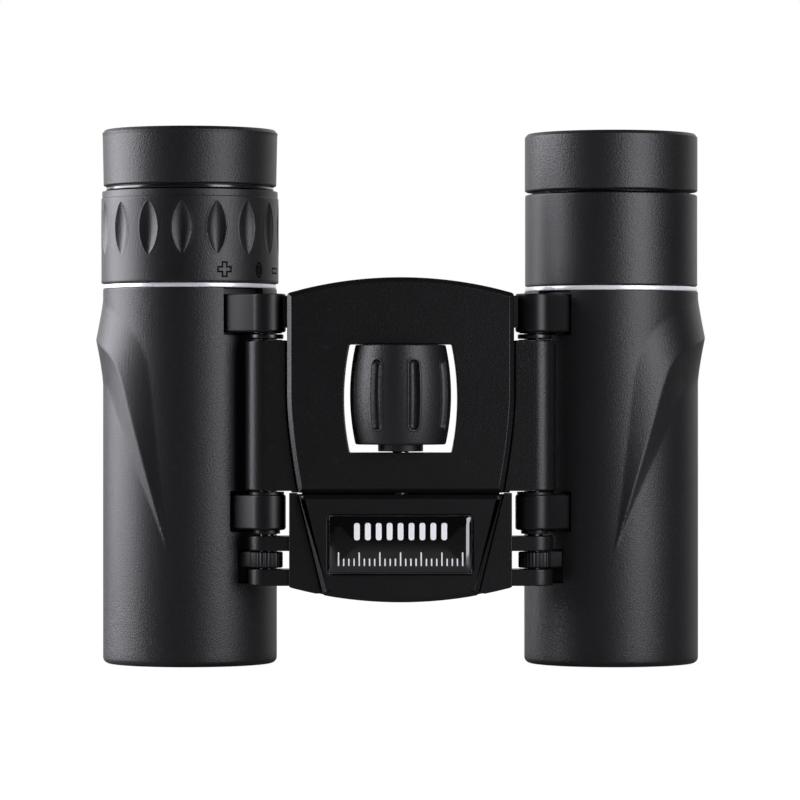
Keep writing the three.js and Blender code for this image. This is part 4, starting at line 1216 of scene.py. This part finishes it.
def make_badge():
    """A gloss badge, domed over its rim, with a thin frame line and generic ruled marks."""
    low, high = span("badge")
    front, back, half = low[1], high[1], high[0]
    centre, tall = (low[2] + high[2]) / 2, (high[2] - low[2]) / 2
    rim_drop, rim_width = 0.8, 1.8
    outline = clean_loop(badge_loop(0, 0.9))
    depths = np.concatenate([np.linspace(0, rim_width, 14), [2.3, 3.0, 3.8, 4.8]])

    def face(inward):
        """Depth of the badge's face at a distance in from its outline."""
        share = max(1 - inward / rim_width, 0)
        rise = rim_drop * (1 - share**2.2)
        return float(front + rim_drop - rise - 0.02 * min(max(inward - rim_width, 0), 4))

    points, faces = [(u, back, v) for u, v in outline], []
    for inward in depths:
        scale = np.array([1 - inward / half, 1 - inward / tall])
        loop = (outline - np.array([0, centre])) * scale + np.array([0, centre])
        points.extend((u, face(inward), v) for u, v in loop)
    count, last = len(outline), len(depths) * len(outline)
    for start in range(0, last, count):
        faces.extend(strip(start, start + count, count))
    faces.extend([tuple(range(last, last + count)), tuple(range(count))[::-1]])
    plate_shell = Shell().add(points, faces)
    set_piece("gloss_badge_plate", plate_shell, "badge", "badge", 60, weight=False)
    marks = Shell()

    def bar(u0, u1, v0, v1, slot, corner=0.0):
        """A printed bar that follows the badge's face."""
        outline = rounded(rectangle(u0, u1, v0, v1, corner), True, 4)
        inward = [min(half - abs(u), tall - abs(v - centre)) for u, v in outline]
        points = [(u, face(near) - 0.015, v) for (u, v), near in zip(outline, inward)]
        marks.add(points, [tuple(range(len(points)))], slot)

    wide, up, thin = half - 0.2, tall - 0.2, 0.06
    bar(-wide, wide, centre + up - thin, centre + up, 1)
    bar(-wide, wide, centre - up, centre - up + thin, 1)
    bar(-wide, -wide + thin, centre - up, centre + up, 1)
    bar(wide - thin, wide, centre - up, centre + up, 1)
    for index in range(-4, 5):
        bar(index * 1.9 - 0.5, index * 1.9 + 0.5, centre + 0.8, centre + 3.8, 0, 0.4)
    thin_low = centre - 3.7
    for index in range(-12, 13):
        top = thin_low + (2.4 if index % 4 == 0 else 1.3)
        bar(index * 0.9 - 0.12, index * 0.9 + 0.12, thin_low, top, 0, 0.1)
    set_piece(
        "gloss_badge_marks", marks, "print line badge", "badge", orient=False,
        hides=False
    )


# ---- focus wheel
def make_wheel(settings):
    """The barrel-shaped focus wheel with eight round-bottomed grooves and fine lips."""
    node = "focus_wheel"
    low, high = span(node)
    angles = full_turn(480)
    neck_low, top = low[2], high[2] + 0.1
    bottom = neck_low + 1.2
    centre, half = (top + bottom) / 2, (top - bottom) / 2
    full, end = 8.85, 7.9

    def swell(z):
        return full - (full - end) * ((z - centre) / half) ** 2

    body = np.arange(bottom + 0.5, top - 0.45, 0.11)
    lower = [
        (1.8, neck_low, 0), (3.95, neck_low, 0.15), (3.95, bottom, 0.15),
        (swell(bottom) - 0.05, bottom, 0.45), (swell(bottom + 0.48), bottom + 0.48, 0)
    ]
    upper = [
        (swell(top - 0.42), top - 0.42, 0), (swell(top), top, 0.4), (6.6, top, 0.15),
        (6.4, top - 0.35, 0.15), (3.2, top - 0.35, 0.1), (3.1, top - 0.1, 0.1), (1.8, top - 0.1, 0)
    ]
    lower, upper = rounded(lower, False, 5), rounded(upper, False, 4)
    heights = np.concatenate([lower[:, 1], body, upper[:, 1]])
    base = np.concatenate([lower[:, 0], swell(body), upper[:, 0]])
    count, wide, tall = 8, 1.9, 12.2
    first, pitch = math.radians(-90 + 15.9), 2 * math.pi / count
    across = (((angles - first) / pitch + 0.5) % 1.0 - 0.5) * pitch * full
    past = np.maximum(np.abs(heights - centre) - (tall - wide) / 2, 0)
    distance = np.hypot(across[None, :], past[:, None])
    inside = np.clip(1 - (distance / (wide / 2)) ** 2, 0, 1)
    lip = np.exp(-(((distance - wide / 2 - 0.17) / 0.14) ** 2))
    shaped = (heights > bottom + 0.5) & (heights < top - 0.45)
    depth = settings.bridge.groove_depth
    change = np.where(shaped[:, None], 0.07 * lip - depth * inside**0.6, 0)
    shell = wrapped(base[:, None] + change, heights, angles).shift(*middle(node)[:2])
    set_piece("focus_wheel_tyre", shell, "wheel", node, 50, False)


def add_thread(path, level, stop, pitch, groove, crest, root):
    """Adds V grooves to a (radius, height) path for as long as they fit."""
    while level < stop:
        path += [(crest, level), (root, level + groove / 2), (crest, level + groove)]
        level += pitch


def make_focus_drive():
    """The screw on the wheel's axis, its two bushes and the nut in the slider."""
    x, y = middle("focus_screw")[:2]
    _, low, high = sizes("focus_screw")
    tip = rounded([(0, low, 0), (1.2, low, 0.1), (1.45, low + 0.3, 0)], False, 3)
    path = [tuple(point) for point in tip]
    add_thread(path, low + 0.5, high - 0.8, 0.5, 0.4, 1.45, 1.22)
    path += [(1.45, high - 0.3), (1.2, high), (0, high)]
    screw = revolved(path, 48, False).shift(x, y)
    set_piece("focus_lead_screw", screw, "steel", "focus_screw", weight=False)
    for place in ("upper", "lower"):
        node = f"{place}_wheel_bush"
        bush = ring(1.8, *sizes(node), (0.1, 0.15, 0.15, 0.1)).shift(x, y)
        set_piece(f"{place}_screw_bush", bush, "brass", node)
    low, high = span("focus_nut")
    outline = rounded(rectangle(low[0], high[0], low[1], high[1], 0.4), True, 4)
    nut = plate(outline, edge_section(low[2], high[2], 0.25, 0.25), [circle(x, y, 1.8)])
    set_piece("focus_lead_nut", nut, "brass", "focus_nut")


# ---- pins and screws
def make_hinge_pins():
    for eye in EYES:
        node = eye.node("hinge_pin")
        _, low, high = sizes(node)
        head, slot = high - 0.9, high - 0.45
        corners = [
            (0, low, 0), (1.4, low, 0.3), (1.4, head, 0.1), (2.3, head, 0.15), (2.3, high, 0.3),
            (0.9, high, 0.1), (0.8, slot, 0), (0, slot, 0)
        ]
        pin = disc(corners, 64).shift(eye.hinge_x, eye.hinge_y)
        set_piece(f"{eye.side}_pivot_pin", pin, "dark_steel", node)
        node = eye.node("hinge_washer")
        washer = ring(1.7, *sizes(node), (0.1, 0.18, 0.18, 0.1)).shift(eye.hinge_x, eye.hinge_y)
        set_piece(f"{eye.side}_pivot_washer", washer, "dark_steel", node)


def make_cover_screws():
    """Small cross-slotted screws in the back of the bridge."""
    for part, index in [("bridge", i) for i in range(1, 5)] + [("slider", 1), ("slider", 2)]:
        node = f"{part}_screw_{index}"
        low, high = span(node)
        (x, _, z), length = middle(node), high[1] - low[1]
        section = edge_section(0, 0.8, 0.2, 0)
        head = plate(circle(0, 0, 1.48, 40), section, [cross_outline(1.0, 0.2)])
        head.take(disc([(0, 0.45, 0), (1.3, 0.45, 0), (1.3, 0.79, 0), (0, 0.79, 0)], 32))
        path = [(0, 0.7), (0.78, 0.7)]
        add_thread(path, 1.0, length - 0.4, 0.4, 0.3, 0.78, 0.62)
        head.take(revolved(path + [(0.6, length - 0.1), (0, length)], 24, False))
        head.points = [p[:, [0, 2, 1]] * [1, -1, 1] + [x, high[1], z] for p in head.points]
        set_piece(f"{part}_fixing_screw_{index}", head, "steel", node)


# ---- studio
def camera_ray(tree):
    return add_node(tree, "LightPath").outputs["Is Camera Ray"]


def make_floor(settings):
    """A wide pale floor."""
    material = moulded(
        "Studio Floor", tuple(settings.floor_color), 0.55, grain=900, strength=0.05, drift=0.01,
        dust=0.0, specular=0.2
    )
    tree = material.node_tree
    glow = add_node(tree, "Emission", {"Color": (1, 1, 1, 1), "Strength": 1.14})
    share = maths(tree, "MULTIPLY", camera_ray(tree), 0.85)
    surface = tree.nodes["Principled BSDF"].outputs[0]
    both = add_node(tree, "MixShader", {0: share, 1: surface, 2: glow.outputs[0]})
    tree.links.new(both.outputs[0], tree.nodes["Material Output"].inputs["Surface"])
    mesh = bpy.data.meshes.new("studio_floor")
    reach = 6.0
    points = [(-reach, -reach, 0), (reach, -reach, 0), (reach, reach, 0), (-reach, reach, 0)]
    mesh.from_pydata(points, [], [(0, 1, 2, 3)])
    mesh.materials.append(material)
    new_object("studio_floor", mesh)


def add_softbox(name, place, target, wide, tall, power):
    light = bpy.data.lights.new(name, "AREA")
    light.shape = "RECTANGLE"
    light.size, light.size_y = wide, tall
    light.energy = power
    light.color = (0.985, 0.965, 1.04)
    box = new_object(name, light)
    box.location = place
    way = Vector(target) - box.location
    box.rotation_euler = way.to_track_quat("-Z", "Y").to_euler()


def make_world():
    """White all round the object, darker on the camera's side."""
    world = bpy.data.worlds.new("Studio")
    world.use_nodes = True
    bpy.context.scene.world = world
    tree = world.node_tree
    place = add_node(tree, "TexCoord").outputs["Generated"]
    parts = add_node(tree, "SeparateXYZ", {0: place})
    level = map_range(
        tree, parts.outputs["Y"], 0.25, 0.75, 0.02, 1.0, interpolation_type="SMOOTHSTEP"
    )
    links = {"Factor": camera_ray(tree), 2: level, 3: 1.0}
    strength = add_node(tree, "Mix", links, data_type="FLOAT")
    background = tree.nodes["Background"]
    background.inputs["Color"].default_value = (1, 1, 1, 1)
    tree.links.new(strength.outputs[0], background.inputs["Strength"])


def make_camera(distance):
    camera = bpy.data.cameras.new("Camera")
    camera.sensor_width = 36
    field = 0.1429  # width in view at the barrel axes, in metres
    camera.lens = camera.sensor_width * distance / field
    camera.clip_start = 0.01
    view = new_object("Camera", camera)
    view.location = (-0.0001, EYES[0].y * MM - distance, 0.04688)
    view.rotation_euler = (math.radians(90), 0, 0)
    bpy.context.scene.camera = view


# ---- operators
def settings_of(context):
    return context.scene.binoculars


class BINOCULARS_OT_finishes(bpy.types.Operator):
    """Make the shared node groups and the finishes"""

    bl_idname = "binoculars.finishes"
    bl_label = "Finishes"

    def execute(self, context):
        make_groups()
        make_finishes(settings_of(context))
        return {"FINISHED"}


class BINOCULARS_OT_barrels(bpy.types.Operator):
    """Make the armour, inner tube and trim ring of both barrels"""

    bl_idname = "binoculars.barrels"
    bl_label = "Barrels"

    def execute(self, context):
        for eye in EYES:
            make_armour(eye, settings_of(context))
            make_tube(eye)
            make_trim(eye)
        return {"FINISHED"}


class BINOCULARS_OT_diopter_ring(bpy.types.Operator):
    """Make the diopter ring with its dial marks, and the plain sleeve opposite"""

    bl_idname = "binoculars.diopter_ring"
    bl_label = "Diopter Ring and Sleeve"

    def execute(self, context):
        make_diopter_ring(EYES[0], settings_of(context))
        make_sleeve(EYES[1])
        return {"FINISHED"}


class BINOCULARS_OT_eyepieces(bpy.types.Operator):
    """Make the eyecups, eyepiece tubes and lenses"""

    bl_idname = "binoculars.eyepieces"
    bl_label = "Eyepieces"

    def execute(self, context):
        for eye in EYES:
            make_eyecup(eye)
            make_eyepiece(eye)
        return {"FINISHED"}


class BINOCULARS_OT_objectives(bpy.types.Operator):
    """Make the objective cells, their lenses and their focus arms"""

    bl_idname = "binoculars.objectives"
    bl_label = "Objectives"

    def execute(self, context):
        for eye in EYES:
            make_objective(eye)
        return {"FINISHED"}


class BINOCULARS_OT_bridge(bpy.types.Operator):
    """Make the upper bridge"""

    bl_idname = "binoculars.bridge"
    bl_label = "Bridge"

    def execute(self, context):
        make_bridge()
        return {"FINISHED"}


class BINOCULARS_OT_slider(bpy.types.Operator):
    """Make the sliding lower bridge and its badge"""

    bl_idname = "binoculars.slider"
    bl_label = "Slider and Badge"

    def execute(self, context):
        make_slider()
        make_badge()
        return {"FINISHED"}


class BINOCULARS_OT_focus_wheel(bpy.types.Operator):
    """Make the focus wheel, its screw, bushes and nut"""

    bl_idname = "binoculars.focus_wheel"
    bl_label = "Focus Wheel"

    def execute(self, context):
        make_wheel(settings_of(context))
        make_focus_drive()
        return {"FINISHED"}


class BINOCULARS_OT_fasteners(bpy.types.Operator):
    """Make the hinge pins, washers and cover screws"""

    bl_idname = "binoculars.fasteners"
    bl_label = "Pins and Screws"

    def execute(self, context):
        make_hinge_pins()
        make_cover_screws()
        return {"FINISHED"}


class BINOCULARS_OT_inner_works(bpy.types.Operator):
    """Give the prisms, their cages and the lens spacers their finishes"""

    bl_idname = "binoculars.inner_works"
    bl_label = "Inner Works"

    def execute(self, context):
        for eye in EYES:
            for part, finish in (
                ("prism_cage", "inner"), ("lens_spacer", "inner"), ("lower_prism", "glass"),
                ("upper_prism", "glass")
            ):
                mesh = frame["nodes"][eye.node(part)].data
                mesh.materials.clear()
                mesh.materials.append(FINISHES[finish])
        return {"FINISHED"}


class BINOCULARS_OT_studio(bpy.types.Operator):
    """Make the floor, the soft lights, the world and the camera"""

    bl_idname = "binoculars.studio"
    bl_label = "Studio"

    def execute(self, context):
        studio = settings_of(context).studio
        make_floor(studio)
        make_world()
        add_softbox("left_softbox", (-0.50, 0.06, 0.20), (0, 0, 0.05), 0.5, 0.45, studio.left_light)
        add_softbox(
            "right_softbox", (0.20, -0.23, 0.14), (0, 0, 0.06), 0.16, 0.34, studio.right_light
        )
        make_camera(studio.distance)
        context.scene.view_settings.view_transform = "Standard"
        return {"FINISHED"}


class BINOCULARS_PT_panel(bpy.types.Panel):
    """Lists the steps that dress the frame"""

    bl_idname = "BINOCULARS_PT_panel"
    bl_label = "Folding Binoculars"
    bl_space_type = "VIEW_3D"
    bl_region_type = "UI"
    bl_category = "Binoculars"

    def draw(self, context):
        settings = settings_of(context)
        for group in (settings.barrel, settings.bridge, settings.studio):
            box = self.layout.box()
            for key in group.bl_rna.properties.keys():
                if key not in ("rna_type", "name"):
                    box.prop(group, key)
        for operator in STEPS:
            self.layout.operator(operator.bl_idname)


STEPS = (
    BINOCULARS_OT_finishes, BINOCULARS_OT_barrels, BINOCULARS_OT_diopter_ring,
    BINOCULARS_OT_eyepieces, BINOCULARS_OT_objectives, BINOCULARS_OT_bridge, BINOCULARS_OT_slider,
    BINOCULARS_OT_focus_wheel, BINOCULARS_OT_fasteners, BINOCULARS_OT_inner_works,
    BINOCULARS_OT_studio
)
CLASSES = (
    BarrelSettings, BridgeSettings, StudioSettings, BinocularSettings, *STEPS, BINOCULARS_PT_panel
)


def register():
    for item in CLASSES:
        bpy.utils.register_class(item)
    bpy.types.Scene.binoculars = bpy.props.PointerProperty(type=BinocularSettings)


def unregister():
    del bpy.types.Scene.binoculars
    for item in reversed(CLASSES):
        bpy.utils.unregister_class(item)


def main():
    register()
    bpy.ops.binoculars.finishes()
    bpy.ops.binoculars.barrels()
    bpy.ops.binoculars.diopter_ring()
    bpy.ops.binoculars.eyepieces()
    bpy.ops.binoculars.objectives()
    bpy.ops.binoculars.bridge()
    bpy.ops.binoculars.slider()
    bpy.ops.binoculars.focus_wheel()
    bpy.ops.binoculars.fasteners()
    bpy.ops.binoculars.inner_works()
    bpy.ops.binoculars.studio()
    bpy.context.view_layer.update()


if __name__ == "__main__":
    main()
